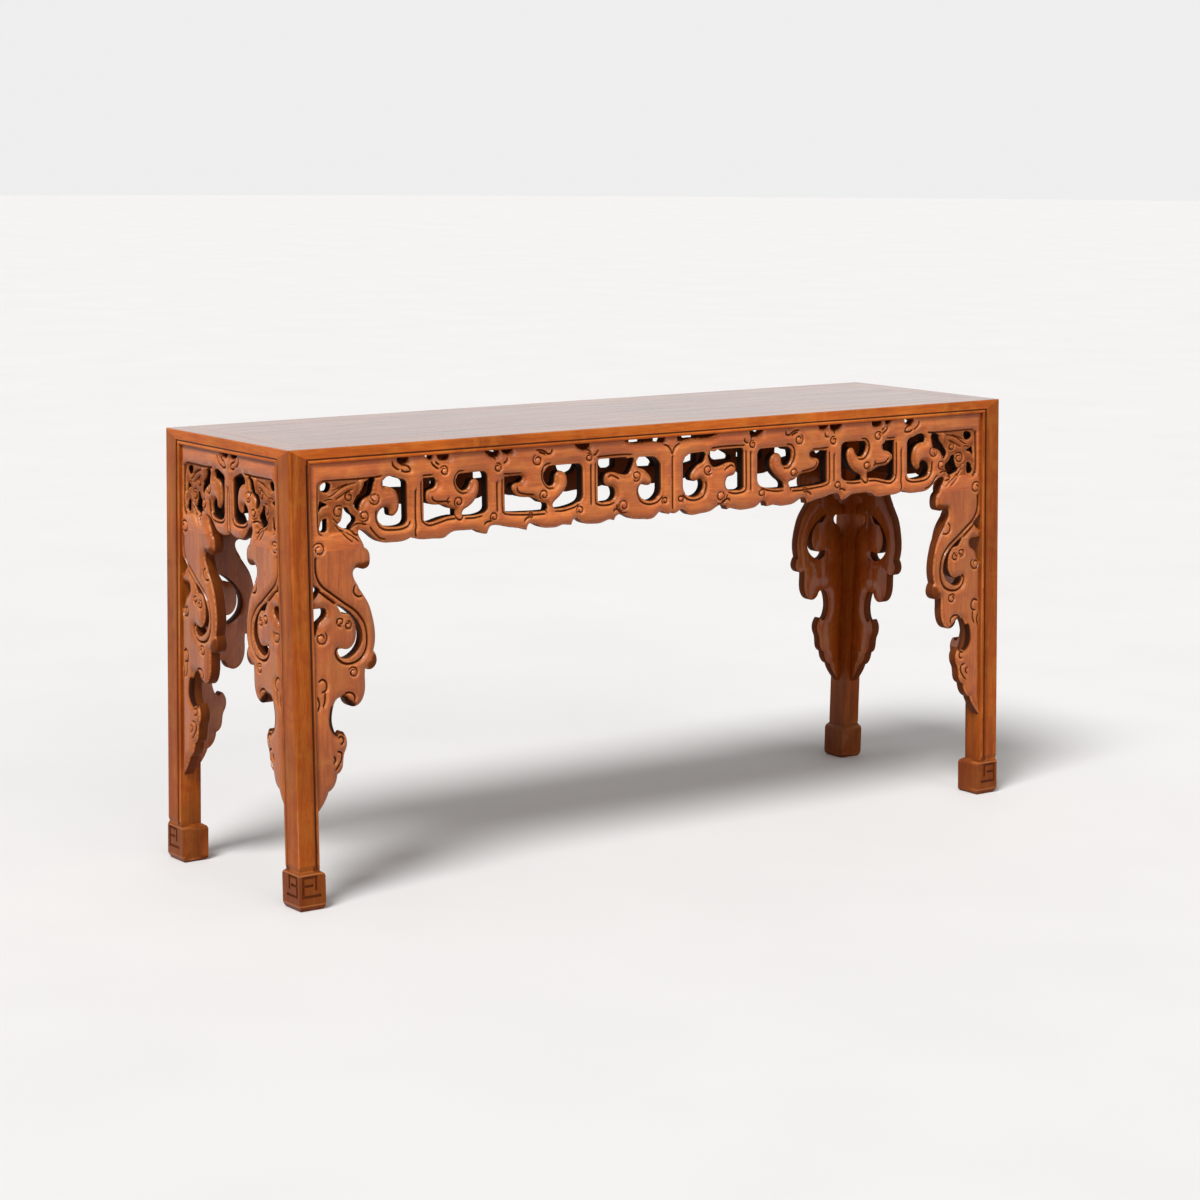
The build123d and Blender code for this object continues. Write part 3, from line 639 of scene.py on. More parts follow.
def dress(node, suffix, mesh, stain_and_shade, wear_and_highlight, material):
    """Object that stands for a node, with the stain and painted shade, and the wear and painted
    highlights, of its points.
    """
    for label, values in (("hollow", stain_and_shade), ("edge", wear_and_highlight)):
        attribute = mesh.attributes.new(label, "FLOAT", "POINT")
        attribute.data.foreach_set("value", values.astype(np.float32))
    mesh.materials.clear()
    mesh.materials.append(material)
    piece = linked(node + suffix, mesh)
    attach(piece, "root")
    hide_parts(node)


def build_carving(node, data, mirror, material):
    """Object for one carving from its pattern, mirrored by signs along X and Y."""
    points, polygons, stain_and_shade, wear_and_highlight = data
    mesh = bpy.data.meshes.new(node)
    mesh.from_pydata((points * np.array([*mirror, 1.0])).tolist(), [], polygons)
    edit_mesh(mesh, face_outward)
    mesh.polygons.foreach_set("use_smooth", [True] * len(mesh.polygons))
    mesh.set_sharp_from_angle(angle=sharp_turn)
    dress(node, "_carving", mesh, stain_and_shade, wear_and_highlight, material)


# ---- Places of the four patterns ----
def front_flatten(points):
    return np.stack([points[:, 0] + long_half, table_height - points[:, 2]], 1)


def front_raise(flat, height):
    y = -half_depth + carving_recess - lean * flat[:, 1] - height
    return np.stack([flat[:, 0] - long_half, y, table_height - flat[:, 1]], 1)


def end_flatten(points):
    return np.stack([points[:, 1], table_height - points[:, 2]], 1)


def end_raise(flat, height):
    x = -half_length + carving_recess - height
    return np.stack([x, flat[:, 0], table_height - flat[:, 1]], 1)


def end_half(v):
    return end_half_at_top + lean * v


def joint_kind(from_leg, v, from_middle):
    """Whether an edge is free, meets a member, or continues into the next carving."""
    beside_spandrel = from_leg < spandrel_top_width + joint_end_slack
    on_joint_line = abs(v - joint_drop) < joint_slack and beside_spandrel
    if on_joint_line or from_middle < joint_slack:
        return "continues"
    if v < rail_height + joint_slack or from_leg < joint_slack:
        return "member"
    return "free"


def front_joint(a, v):
    return joint_kind(a, v, long_half - a)


def end_joint(a, v):
    return joint_kind(end_half(v) - abs(a), v, end_half(v))


front_side = ((0, -1, lean), front_flatten, front_raise, front_joint)
end_side = ((-1, 0, 0), end_flatten, end_raise, end_joint)


def placed(points, place):
    return np.array([place(s, t) for s, t in points])


def placed_cuts(strokes, veins, spirals, place):
    """Cuts (points, half width, depth) and domes (middle, radius) where place puts them."""
    cuts = [(placed(smooth_curve(line), place), *groove_cut) for line in strokes]
    cuts += [(placed(smooth_curve(line), place), *vein_cut) for line in veins]
    domes = []
    for centre, radius, start, sense in spirals:
        cuts.append((placed(spiral(centre, radius, start, sense), place), *spiral_cut))
        domes.append((place(*centre), radius * dome_share))
    return cuts, domes


def placed_boxes(boxes, place):
    return [(place(*low), place(*high)) for low, high in boxes]


def both_ways(boxes):
    """The boxes and their mirror images across the middle."""
    return boxes + [((-high[0], low[1]), (-low[0], high[1])) for low, high in boxes]


def front_apron_place(s, t):
    return (s, t + rail_height)


def spandrel_place(s, t):
    return (s, t + joint_drop)


def end_bay_place(s, t):
    v = t + rail_height
    return (s * end_half_at_top / drawn_post - end_half(v), v)


def end_apron_near_leg(s, t):
    v = t + rail_height
    return (s - end_half(v), v)


def end_spandrel_place(s, t):
    v = t + joint_drop
    return (s - end_half(v), v)


def long_apron_data():
    strokes = corner_bay_strokes + long_apron_strokes
    spirals = corner_bay_spirals + long_apron_spirals + [joint_spiral]
    cuts, domes = placed_cuts(strokes, corner_bay_veins, spirals, front_apron_place)
    scrolls = placed_boxes(corner_bay_scrolls + long_apron_scrolls, front_apron_place)
    leaves = placed_boxes([leaf_field], front_apron_place)
    return carved_mesh("front_left_apron", front_side, apron_roll, cuts, domes, scrolls, leaves)


def end_apron_data():
    bay = (corner_bay_strokes, corner_bay_veins, corner_bay_spirals)
    cuts, domes = placed_cuts(*bay, end_bay_place)
    more_cuts, more_domes = placed_cuts([], [], [joint_spiral], end_apron_near_leg)
    cuts += more_cuts
    domes += more_domes
    cuts += [(stroke * (-1.0, 1.0), half_width, depth) for stroke, half_width, depth in cuts]
    domes += [((-a, v), radius) for (a, v), radius in domes]
    scrolls = both_ways(placed_boxes(corner_bay_scrolls, end_bay_place))
    leaves = both_ways(placed_boxes([leaf_field], end_bay_place))
    return carved_mesh("left_end_apron", end_side, apron_roll, cuts, domes, scrolls, leaves)


def spandrel_data(node, side, place):
    (distance, drop), *shape = joint_spiral
    spirals = spandrel_spirals + [((distance, drop - apron_height), *shape)]
    cuts, domes = placed_cuts(spandrel_strokes, [], spirals, place)
    cuts.append((placed(smooth_curve(spandrel_slit), place), *slit_cut))
    cuts.append((placed(smooth_curve(spandrel_ribbon), place), *ribbon_cut))
    shade_runs = [(placed(smooth_curve(run), place), *fade) for run, *fade in spandrel_shade_runs]
    return carved_mesh(node, side, spandrel_roll, cuts, domes, shade_runs=shade_runs)


# ---- Materials ----
class Tree:
    """Short calls for building the node tree of a material or world."""

    def __init__(self, owner):
        owner.use_nodes = True
        self.tree = owner.node_tree
        self.tree.nodes.clear()

    def add(self, kind, constants=(), **settings):
        """A new node, with its properties and the constants of its sockets."""
        node = self.tree.nodes.new(kind)
        for key, value in settings.items():
            setattr(node, key, value)
        for socket, value in dict(constants).items():
            node.inputs[socket].default_value = value
        return node

    def link(self, source, target):
        self.tree.links.new(source, target)

    def feed(self, value, socket):
        """Sets a number or colour on the socket, or links to it."""
        if isinstance(value, tuple):
            socket.default_value = (*value, 1.0)
        elif isinstance(value, (int, float)):
            socket.default_value = value
        else:
            self.link(value, socket)

    def through(self, kind, source, output, constants=(), **settings):
        """The source after a new node's work on it."""
        node = self.add(kind, constants, **settings)
        self.link(source, node.inputs[0])
        return node.outputs[output]

    def noise(self, coordinates, scale, detail, roughness=0.55, distortion=0.0):
        constants = {"Scale": scale, "Detail": detail, "Roughness": roughness}
        constants["Distortion"] = distortion
        return self.through("ShaderNodeTexNoise", coordinates, "Fac", constants)

    def stretched(self, coordinates, scale):
        return self.through("ShaderNodeMapping", coordinates, "Vector", {"Scale": scale})

    def upright(self, vector):
        return self.through("ShaderNodeSeparateXYZ", vector, "Z")

    def ramp(self, factor, stops):
        node = self.add("ShaderNodeValToRGB")
        self.link(factor, node.inputs["Fac"])
        elements = node.color_ramp.elements
        while len(elements) < len(stops):
            elements.new(0.5)
        for element, (position, colour) in zip(elements, stops):
            element.position = position
            element.color = (*colour, 1.0)
        return node.outputs["Color"]

    def span(self, value, low, high, to_low, to_high):
        """The value's range from low to high, turned into the one from to_low to to_high."""
        constants = {"From Min": low, "From Max": high, "To Min": to_low, "To Max": to_high}
        return self.through("ShaderNodeMapRange", value, "Result", constants, clamp=True)

    def blend(self, factor, first, second, kind="MIX"):
        node = self.add("ShaderNodeMix", data_type="RGBA", blend_type=kind)
        for index, value in ((0, factor), (6, first), (7, second)):
            self.feed(value, node.inputs[index])
        return node.outputs[2]

    def maths(self, operation, *values):
        node = self.add("ShaderNodeMath", operation=operation)
        for socket, value in zip(node.inputs, values):
            self.feed(value, socket)
        return node.outputs[0]

    def bump(self, height, strength, distance):
        node = self.add("ShaderNodeBump", {"Strength": strength, "Distance": distance})
        self.link(height, node.inputs["Height"])
        return node

    def surface(self, colour, constants):
        """Principled shader with this colour and these constants, on the output."""
        shader = self.add("ShaderNodeBsdfPrincipled", constants)
        self.link(colour, shader.inputs["Base Color"])
        output = self.add("ShaderNodeOutputMaterial")
        self.link(shader.outputs["BSDF"], output.inputs["Surface"])
        return shader


dark_tone = (0.30, 0.060, 0.005)
middle_tone = (0.44, 0.101, 0.010)
light_tone = (0.56, 0.165, 0.028)
golden_tone = (0.44, 0.135, 0.018)
red_tone = (0.36, 0.066, 0.010)
# colour of the stain and painted shade in hollows and quirks
stain_and_shade_tone = (0.075, 0.015, 0.003)
# near-black painted shade on the deepest walls and backs
deep_shade_tone = (0.005, 0.0015, 0.0006)
# light colour of the wear and painted highlights on rims and ridges
wear_and_highlight_tone = (0.70, 0.26, 0.085)
pore_shade = 0.45
quirk_level = 0.81875  # height of the groove above the rails' bead, in metres
top_shade = (0.42, 0.45, 0.6)  # the table top is darker than the sides
across_grain = 13.0  # how much finer the figure is across the grain
pore_stretch = 3  # and the pores along it
lacquer_ior = 1.5
# Noises: scale, detail, roughness and distortion
figure_noise = (3.2, 5.0, 0.6, 0.9)
streak_noise = (28.0, 4.0, 0.6, 0.3)
pore_noise = (95.0, 2.0, 0.5)
patch_noise = (5.5, 3.0, 0.6, 0.4)
hue_noise = (17.0, 3.0, 0.6, 0.8)
noise_range = (0.3, 0.7)  # where nearly all of a noise's values lie
figure_weight = 0.62  # in the wood's tone; the streaks have the rest
tone_stops = (0.36, 0.5, 0.66)  # where the dark, middle and light tones lie
hue_strength = 0.6  # of the golden and the reddish areas
quirk_shade_fade = (0.0012, 0.0018)  # metres from its level over which its painted shade ends
facing_up = (0.6, 0.95)  # upright part of the normal over which the top's look sets in
fine_bump = (0.18, 0.0006)  # strength and distance
swell_distance = 0.0012
carved_swell = (70.0, 0.35)  # scale and strength of the uneven surface
plain_swell = (16.0, 0.1)


def tinted(tone, factor):
    return tuple(factor * c for c in tone)


def wood_figure(t, coordinates, grain, painted_light_factor):
    """Colour of the wood, and its tone, streaks, pores and patches."""
    scales = [1.0 if axis == grain else across_grain for axis in "xyz"]
    pore_scales = [s if s > 1 else pore_stretch for s in scales]
    tones = [tinted(tone, painted_light_factor) for tone in (dark_tone, middle_tone, light_tone)]
    along = t.stretched(coordinates, scales)
    figure = t.noise(along, *figure_noise)
    streaks = t.noise(along, *streak_noise)
    pores = t.noise(t.stretched(coordinates, pore_scales), *pore_noise)
    patches = t.noise(coordinates, *patch_noise)
    hues = t.noise(coordinates, *hue_noise)
    figure_part = t.maths("MULTIPLY", figure, figure_weight)
    tone = t.maths("ADD", figure_part, t.maths("MULTIPLY", streaks, 1 - figure_weight))
    colour = t.ramp(tone, list(zip(tone_stops, tones)))
    patch_level = t.span(patches, *noise_range, 0.74, 1.14)
    patch_shade = t.add("ShaderNodeCombineColor")
    for socket in patch_shade.inputs:
        t.link(patch_level, socket)
    colour = t.blend(1.0, colour, patch_shade.outputs[0], "MULTIPLY")
    golden = t.span(hues, 0.52, 0.66, 0.0, hue_strength)
    colour = t.blend(golden, colour, tinted(golden_tone, painted_light_factor))
    reddish = t.span(hues, 0.48, 0.34, 0.0, hue_strength)
    colour = t.blend(reddish, colour, tinted(red_tone, painted_light_factor))
    in_pore = t.span(pores, 0.60, 0.72, 0.0, 0.45)
    return t.blend(in_pore, colour, tinted(tones[0], pore_shade)), tone, streaks, pores, patches


def marked(t, colour, patches, hollow, edge):
    """Colour with stain and painted shade in the hollows, and wear and painted highlights on the
    edges and ridges.
    """
    stain_and_shade = t.span(hollow, 0.0, 0.7, 0.0, 1.0)
    stain_and_shade = t.maths("MULTIPLY", stain_and_shade, t.span(patches, *noise_range, 0.8, 1.0))
    colour = t.blend(stain_and_shade, colour, stain_and_shade_tone)
    # near-black painted shade where the mask is strongest
    colour = t.blend(t.span(hollow, 0.72, 1.0, 0.0, 0.95), colour, deep_shade_tone)
    # wear and painted highlights on the rims and ridges
    wear_and_highlight = t.maths("MULTIPLY", edge, t.span(patches, 0.35, 0.6, 0.4, 0.95))
    return t.blend(wear_and_highlight, colour, wear_and_highlight_tone)


def polished(t, colour, coordinates):
    """Colour with painted shade in the rails' quirk and the darker top, and how far up a place
    faces.
    """
    # painted shade along the rails' quirk
    from_quirk = t.maths("ABSOLUTE", t.maths("SUBTRACT", t.upright(coordinates), quirk_level))
    in_quirk = t.span(from_quirk, *quirk_shade_fade, 0.9, 0.0)
    colour = t.blend(in_quirk, colour, stain_and_shade_tone)
    normal = t.add("ShaderNodeNewGeometry").outputs["Normal"]
    upward = t.span(t.upright(normal), *facing_up, 0.0, 0.95)
    darker = t.blend(1.0, colour, top_shade, "MULTIPLY")
    return t.blend(upward, colour, darker), upward


def wood(name, grain, painted_light_factor=1.0, carved=False, gloss=0.36, coat=0.06, coat_roughness=0.15,
         specular=0.22, polished_top=False):
    """Lacquered wood with its grain along one axis, polished on top where that is asked."""
    material = bpy.data.materials.new(name)
    t = Tree(material)
    coordinates = t.add("ShaderNodeTexCoord").outputs["Object"]
    colour, tone, streaks, pores, patches = wood_figure(t, coordinates, grain, painted_light_factor)
    roughness = t.span(streaks, *noise_range, gloss - 0.05, gloss + 0.09)
    coat_weight = coat
    if carved:
        # the hollow attribute carries stain and painted shade
        hollow = t.add("ShaderNodeAttribute", attribute_name="hollow").outputs["Fac"]
        # the edge attribute carries the wear and painted highlights
        edge = t.add("ShaderNodeAttribute", attribute_name="edge").outputs["Fac"]
        colour = marked(t, colour, patches, hollow, edge)
        roughness = t.maths("MAXIMUM", roughness, t.maths("MULTIPLY", hollow, 0.85))
        if coat:
            coat_weight = t.span(hollow, 0.0, 0.6, coat, 0.0)
    if polished_top:
        colour, upward = polished(t, colour, coordinates)
        sheen = t.maths("MULTIPLY", upward, t.span(tone, 0.38, 0.62, 0.8, 1.0))
        coat_weight = t.maths("MAXIMUM", sheen, coat)
    constants = {"Specular IOR Level": specular, "Coat IOR": lacquer_ior}
    shader = t.surface(colour, {**constants, "Coat Roughness": coat_roughness})
    t.link(roughness, shader.inputs["Roughness"])
    t.feed(coat_weight, shader.inputs["Coat Weight"])
    fine = t.bump(t.maths("ADD", streaks, t.maths("MULTIPLY", pores, 0.5)), *fine_bump)
    swell_scale, swell_strength = carved_swell if carved else plain_swell
    swell = t.noise(coordinates, swell_scale, 1.5, 0.4)
    broad = t.bump(swell, swell_strength, swell_distance)
    t.link(broad.outputs["Normal"], fine.inputs["Normal"])
    t.link(fine.outputs["Normal"], shader.inputs["Normal"])
    return material


# The number after the grain is painted light and shade: lighter and darker copies of the same wood
# for each kind of piece.
carved_gloss = {"gloss": 0.38, "coat": 0.85, "coat_roughness": 0.18, "specular": 0.1}
carved_x = wood("carved_wood_along", "x", 1.2, carved=True, **carved_gloss)
carved_y = wood("carved_wood_across", "y", 1.1, carved=True, **carved_gloss)
carved_z = wood("carved_wood_upright", "z", 0.92, carved=True, **carved_gloss)
rail_gloss = {"coat_roughness": 0.07, "specular": 0.12, "polished_top": True}
frame_x = wood("frame_wood_along", "x", 1.25, **rail_gloss)
frame_y = wood("frame_wood_across", "y", 1.2, **rail_gloss)
panel = wood("panel_wood_polished", "x", coat_roughness=0.07, polished_top=True)
inner = wood("inner_wood_plain", "y", gloss=0.5, coat=0.1)

# ---- Carved pieces ----
corner_signs = {
    "front_left": (1, 1), "front_right": (-1, 1), "back_left": (1, -1), "back_right": (-1, -1)
}
long_apron = long_apron_data()
end_apron = end_apron_data()
long_spandrel = spandrel_data("front_left_spandrel", front_side, spandrel_place)
end_spandrel = spandrel_data("front_left_end_spandrel", end_side, end_spandrel_place)
for corner, signs in corner_signs.items():
    build_carving(corner + "_apron", long_apron, signs, carved_x)
    build_carving(corner + "_spandrel", long_spandrel, signs, carved_z)
    build_carving(corner + "_end_spandrel", end_spandrel, signs, carved_z)
build_carving("left_end_apron", end_apron, (1, 1), carved_y)
build_carving("right_end_apron", end_apron, (-1, 1), carved_y)


# ---- Plain members ----
weld_reach = 0.00002  # metres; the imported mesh's split corners are joined
member_bevel = 0.0006
board_bevel = 0.0014
bevel_turn = math.radians(30)  # edges that turn more are rounded


def round_edges(piece, width):
    """Rounds the piece's sharp edges."""
    bevel = piece.modifiers.new("bevel", "BEVEL")
    bevel.width = width
    bevel.segments = 2
    bevel.limit_method = "ANGLE"
    bevel.angle_limit = bevel_turn
    normals = piece.modifiers.new("normals", "WEIGHTED_NORMAL")
    normals.keep_sharp = True


member_looks = {
    "front_rail back_rail": (frame_x, member_bevel),
    "left_end_rail right_end_rail": (frame_y, member_bevel),
    "left_batten middle_batten right_batten spandrel_dowels": (inner, member_bevel),
    "panel_board_1 panel_board_2 panel_board_3": (panel, board_bevel),
}
for names, (material, bevel_width) in member_looks.items():
    for name in names.split():
        for slot in nodes[name].material_slots:
            slot.material = material
        weld = nodes[name].modifiers.new("weld", "WELD")
        weld.merge_threshold = weld_reach
        round_edges(nodes[name], bevel_width)


# ---- Legs with carved feet, in millimetres ----
ledge_section = ((752.0, -2.0), (754.0, 0.0), (764.0, 2.6), (771.0, 0.0), (773.0, -2.0))
base_section = ((828.0, -3.0), (828.5, 0.0), (838.0, 5.0), (841.0, 5.0), (841.0, -3.0))
fret_paths = [
    [(43.0, 811.0), (8.5, 811.0), (8.5, 775.5), (35.5, 775.5), (35.5, 798.0)],
    [(8.5, 791.0), (27.0, 791.0)],
]  # (distance from the leg's outer corner, drop below the top surface)
fret_width = 5.4
fret_depth = 2.4
fret_shoulder = 1.5
shoulder_turn = 0.6  # radians
fret_start = 3.0  # nearest to the leg's corner that the fret's shoulders come
fret_drops = (772.5, 815.0)  # and the drops between which they lie
fret_floor = 1.4  # what lies deeper than this on the foot is in a cut line
fret_stain_end = 818.0
foot_top_drop = 765.0
foot_bands = (768.5, 773.0, 825.5, 830.0)  # drops that bound the foot's rims, worn and given a painted highlight
foot_rims = (770.5, 828.0)
foot_rim_half_width = 1.6
bead_width = 6.4  # round moulding along a leg's inner edge
quirk_width = 4.8
quirk_depth = 2.8
quirk_slopes = (0.8, 1.4)  # how far its two walls lean in
quirk_span = (27.6, 765.4)  # drops where it starts and ends
quirk_shade_reach = 9.0  # soft band of painted shade beside the quirk
inner_limit = 44.0  # no mark reaches a leg's hidden sides
cut_start = -3.0  # cutters start this far outside the wood
cut_through = 80.0
skin = 0.4  # what lies less deep than this is a leg's own face
slack = 0.3
foot_stain = 0.4
# stain and painted shade in the foot's cut lines
fret_stain_and_shade = 0.62
# painted shade in the quirks
quirk_painted_shade = 0.8
# painted shade beside the quirks
beside_quirk_painted_shade = 0.26
# wear and painted highlight on the foot's rims
foot_rim_wear_and_highlight = 0.5


def ribbon(path, width):
    """Outline of a band along a path of square turns."""
    path = np.array(path, float)
    run = np.sign(np.round(path[1:] - path[:-1], 6))
    left = np.stack([-run[:, 1], run[:, 0]], 1)
    sides = []
    for sign in (1, -1):
        shifts = [left[0] * sign - run[0]]
        shifts += [(before + after) * sign for before, after in zip(left, left[1:])]
        shifts.append(left[-1] * sign + run[-1])
        sides.append([point + shift * width / 2 for point, shift in zip(path, shifts)])
    return sides[0] + sides[1][::-1]


def add_prism(model, outline, face, order, near, far):
    """Closed prism from an outline; order says how its three numbers go to face."""
    ends = []
    for depth in (near, far):
        corners = [(*point, depth) for point in outline]
        ends.append([model.verts.new(face(*[c[k] for k in order])) for c in corners])
    model.faces.new(ends[0])
    model.faces.new(ends[1][::-1])
    for i in range(len(outline)):
        j = (i + 1) % len(outline)
        model.faces.new((ends[0][j], ends[0][i], ends[1][i], ends[1][j]))


def front_foot(corner_gap, drop, depth):
    y = -half_depth - lean * drop + depth
    return Vector((-half_length + corner_gap, y, table_height - drop)) * MM


def side_foot(corner_gap, drop, depth):
    y = -half_depth - lean * drop + corner_gap
    return Vector((-half_length + depth, y, table_height - drop)) * MM


def cut_foot(model):
    """Closed solids to cut from the near left leg: fret lines, the foot's ledges, quirks."""
    for face in (front_foot, side_foot):
        for path in fret_paths:
            add_prism(model, ribbon(path, fret_width), face, (0, 1, 2), cut_start, fret_depth)
        for section in (ledge_section, base_section):
            add_prism(model, section, face, (2, 0, 1), cut_start, cut_through)
    for face, width in ((front_foot, leg_width), (side_foot, leg_depth)):
        inner_side = width - bead_width
        outer_side = inner_side - quirk_width
        outline = [
            (outer_side, cut_start),
            (inner_side, cut_start),
            (inner_side - quirk_slopes[0], quirk_depth),
            (outer_side + quirk_slopes[1], quirk_depth),
        ]
        add_prism(model, outline, face, (0, 2, 1), *quirk_span)
    face_outward(model)


def baked(piece):
    """The piece's mesh with its modifiers applied, as a new mesh."""
    depsgraph = bpy.context.evaluated_depsgraph_get()
    return bpy.data.meshes.new_from_object(piece.evaluated_get(depsgraph))


def leg_depths(x, y, z):
    """Distance of a point of the near left leg behind its front face and its side face."""
    drop = table_height - z
    return y + half_depth + lean * drop, x + half_length, drop


def on_fret(vert):
    """Whether a point lies on the leg's own face, where the fret is cut."""
    depth_front, depth_side, drop = leg_depths(*(vert.co / MM))
    nearer, across = sorted((depth_front, depth_side))
    top, bottom = fret_drops
    return nearer < flat_slack and fret_start < across < inner_limit and top < drop < bottom


def soften_fret(model):
    """Rounds the shoulders of the foot's cut lines."""
    shoulders = [
        edge
        for edge in model.edges
        if edge.calc_face_angle(0) > shoulder_turn and all(on_fret(vert) for vert in edge.verts)
    ]
    size = {"offset": fret_shoulder * MM, "segments": 3, "profile": 0.5}
    bmesh.ops.bevel(model, geom=shoulders, affect="EDGES", clamp_overlap=True, **size)


def shade_bands(model):
    """Adds edges where the painted shade beside the quirks and the painted highlights on the foot's
    worn rims fade out.
    """
    planes = []
    for reach in (0.0, quirk_shade_reach / 2, quirk_shade_reach):
        x = -half_length + leg_width - bead_width - quirk_width - reach
        y = -half_depth + leg_depth - bead_width - quirk_width - reach
        planes.append(((x, 0, 0), (1, 0, 0)))
        planes.append(((0, y, table_height), (0, 1, -lean)))
    planes += [((0, 0, table_height - drop), (0, 0, 1)) for drop in foot_bands]
    for place, normal in planes:
        plane = {"plane_co": Vector(place) * MM, "plane_no": Vector(normal)}
        everything = model.verts[:] + model.edges[:] + model.faces[:]
        bmesh.ops.bisect_plane(model, geom=everything, dist=0.00001, **plane)


def join_corners(model):
    bmesh.ops.remove_doubles(model, verts=model.verts, dist=weld_reach)


def carved_leg_mesh():
    """The near left leg with its foot carved, at its own place."""
    blank = linked("leg_blank", bpy.data.meshes.new("leg_blank"))
    edit_mesh(blank.data, join_corners, nodes["front_left_leg"].data)
    cutter = linked("foot_cutter", bpy.data.meshes.new("foot_cutter"))
    edit_mesh(cutter.data, cut_foot)
    carve = blank.modifiers.new("carve", "BOOLEAN")
    carve.operation = "DIFFERENCE"
    carve.solver = "EXACT"
    carve.use_self = True
    carve.object = cutter
    carved = baked(blank)
    blank.modifiers.clear()
    blank.data = carved
    edit_mesh(carved, soften_fret)
    edit_mesh(carved, shade_bands)
    round_edges(blank, member_bevel)
    result = baked(blank)
    for piece in (blank, cutter):
        bpy.data.objects.remove(piece)
    return result


def between(values, low, high):
    return (values > low) & (values < high)


def leg_marks(mesh):
    """Stain and marks of a leg: dark foot, painted shade with stain in the cut lines, painted shade
    in and beside the quirks, painted highlights on the worn foot rims.
    """
    depth_front, depth_side, drop = leg_depths(*points_of(mesh).T)
    on_foot = drop > foot_top_drop
    stain_and_shade = np.where(on_foot, foot_stain, 0.0)
    sides = ((depth_front, depth_side, leg_width), (depth_side, depth_front, leg_depth))
    for depth, across, width in sides:
        quirk_start = width - bead_width - quirk_width
        in_fret = between(depth, fret_floor, fret_depth + slack) & (drop < fret_stain_end)
        in_quirk = between(depth, skin, quirk_depth + skin)
        in_quirk &= between(across, quirk_start - slack, inner_limit)
        # stain and painted shade in the cut lines, painted shade in the quirks
        stain_and_shade[on_foot & in_fret] = fret_stain_and_shade
        stain_and_shade[in_quirk & ~on_foot] = quirk_painted_shade
        band = 1 - np.clip((quirk_start - across) / quirk_shade_reach, 0, 1)
        beside = (depth < skin) & (drop > rail_height) & (across < quirk_start + slack) & ~on_foot
        # painted shade beside the quirks
        stain_and_shade[beside] = np.maximum(stain_and_shade[beside], beside_quirk_painted_shade * band[beside] ** 2)
    # wear and painted highlight on the foot rims
    outside = np.minimum(depth_front, depth_side) < fret_floor
    upper, lower = (np.abs(drop - rim) < foot_rim_half_width for rim in foot_rims)
    return stain_and_shade, np.where(outside & (upper | lower), foot_rim_wear_and_highlight, 0.0)


def build_legs(material):
    source = carved_leg_mesh()
    stain_and_shade, wear_and_highlight = leg_marks(source)
    for corner, (flip_x, flip_y) in corner_signs.items():
        mesh = source.copy()
        mesh.transform(Matrix.Diagonal((flip_x, flip_y, 1, 1)))
        if flip_x * flip_y < 0:
            mesh.flip_normals()
        dress(corner + "_leg", "_carved", mesh, stain_and_shade, wear_and_highlight, material)


# the legs get a darker copy of the wood, painted shade
build_legs(wood("frame_wood_legs", "z", 0.8, carved=True, coat=0.0, specular=0.14))


# ---- Floor, light and camera ----
floor_radius = 40.0  # metres
floor_level = -0.0002
floor_colour = (0.69, 0.682, 0.675)
floor_bounce_colour = (0.42, 0.31, 0.23)  # the floor bounces less light than it shows
cloud_shade = 0.97
sky_colour = (1.0, 0.99, 0.97, 1.0)
sky_strength = 0.36
backdrop_colour = (1.0, 1.0, 1.0, 1.0)
backdrop_strength = 0.86
camera_place = (-3.538, -4.877, 1.456)
camera_lens = 91.1
camera_angles = (9.39, 35.9, 0.27)  # degrees: down, to the right, and roll


def seen_or_mirrored(t):
    """1 for rays from the camera, a mirror or glass, 0 for light that bounces."""
    path = t.add("ShaderNodeLightPath")
    seen = t.maths("MAXIMUM", path.outputs["Is Camera Ray"], path.outputs["Is Glossy Ray"])
    return t.maths("MAXIMUM", seen, path.outputs["Is Transmission Ray"])


def studio_floor_material():
    """Pale matt floor with faint clouds."""
    material = bpy.data.materials.new("studio_pale")
    t = Tree(material)
    clouds = t.noise(t.add("ShaderNodeTexCoord").outputs["Object"], 2.0, 2.0)
    pale = t.ramp(clouds, ((0.3, tinted(floor_colour, cloud_shade)), (0.7, floor_colour)))
    colour = t.blend(seen_or_mirrored(t), floor_bounce_colour, pale)
    t.surface(colour, {"Roughness": 0.7, "Specular IOR Level": 0.1})
    return material


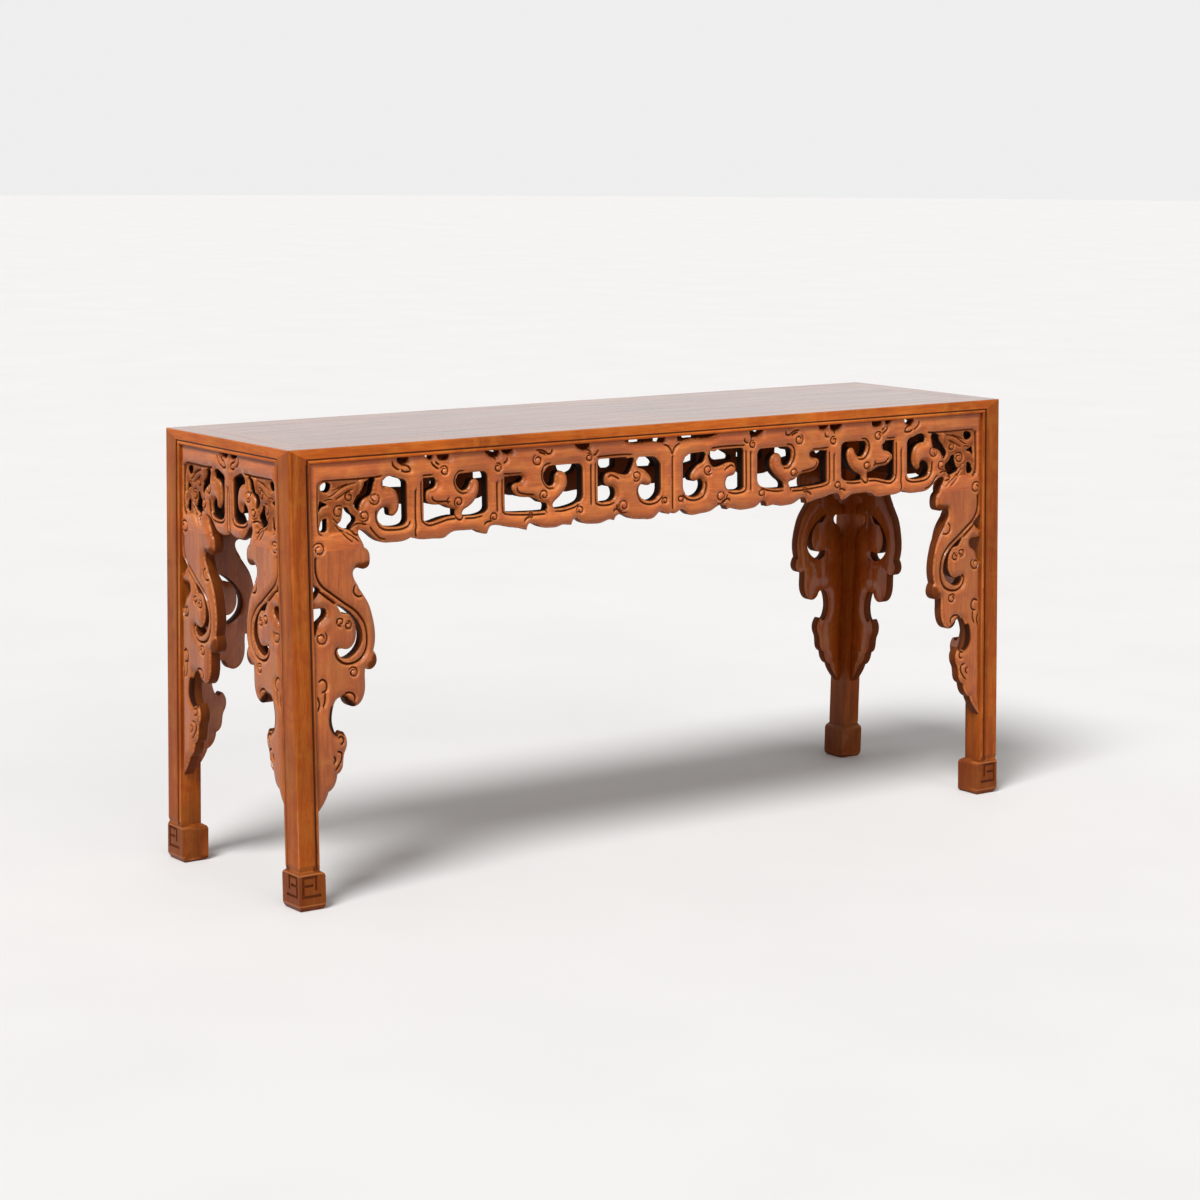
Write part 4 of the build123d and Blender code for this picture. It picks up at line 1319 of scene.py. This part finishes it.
def add_disc(model):
    level = Matrix.Translation((0, 0, floor_level))
    bmesh.ops.create_circle(model, cap_ends=True, segments=96, radius=floor_radius, matrix=level)


def studio_floor():
    """Wide pale floor; past its edge the world shows the same pale tone."""
    floor = linked("studio_floor", bpy.data.meshes.new("studio_floor"))
    edit_mesh(floor.data, add_disc)
    floor.data.materials.append(studio_floor_material())


def soft_sun(name, toward_lamp, angle, strength, mirrored=True):
    """Even light from one side; the angle it spans in the sky, in degrees, softens it."""
    light = linked(name, bpy.data.lights.new(name, "SUN"))
    light.data.energy = strength
    light.data.angle = math.radians(angle)
    light.visible_glossy = mirrored
    light.rotation_euler = (-Vector(toward_lamp)).to_track_quat("-Z", "Y").to_euler()


def studio_world():
    """Even soft light; the camera, mirrors and glass see a pale backdrop instead."""
    world = bpy.data.worlds.new("studio_world")
    bpy.context.scene.world = world
    t = Tree(world)
    mix = t.add("ShaderNodeMixShader")
    t.link(seen_or_mirrored(t), mix.inputs[0])
    looks = ((sky_colour, sky_strength), (backdrop_colour, backdrop_strength))
    for socket, (colour, strength) in zip(mix.inputs[1:], looks):
        light = t.add("ShaderNodeBackground", {"Color": colour, "Strength": strength})
        t.link(light.outputs[0], socket)
    output = t.add("ShaderNodeOutputWorld")
    t.link(mix.outputs[0], output.inputs["Surface"])


def photograph_camera():
    down, right, roll = camera_angles
    camera = linked("camera", bpy.data.cameras.new("camera"))
    camera.data.lens = camera_lens
    camera.data.sensor_width = 36.0
    camera.location = camera_place
    aim = Euler((math.radians(90 - down), 0.0, math.radians(-right))).to_matrix()
    camera.rotation_euler = (aim @ Matrix.Rotation(math.radians(roll), 3, "Z")).to_euler()
    bpy.context.scene.camera = camera


studio_floor()
soft_sun("key", (-0.52, -0.27, 0.81), 22, 3.4)
soft_sun("front_fill", (0.34, -0.89, 0.31), 50, 0.25, mirrored=False)
soft_sun("window", (-0.07, -0.84, 0.46), 34, 0.55)
studio_world()
photograph_camera()
bpy.context.scene.view_settings.view_transform = "Standard"
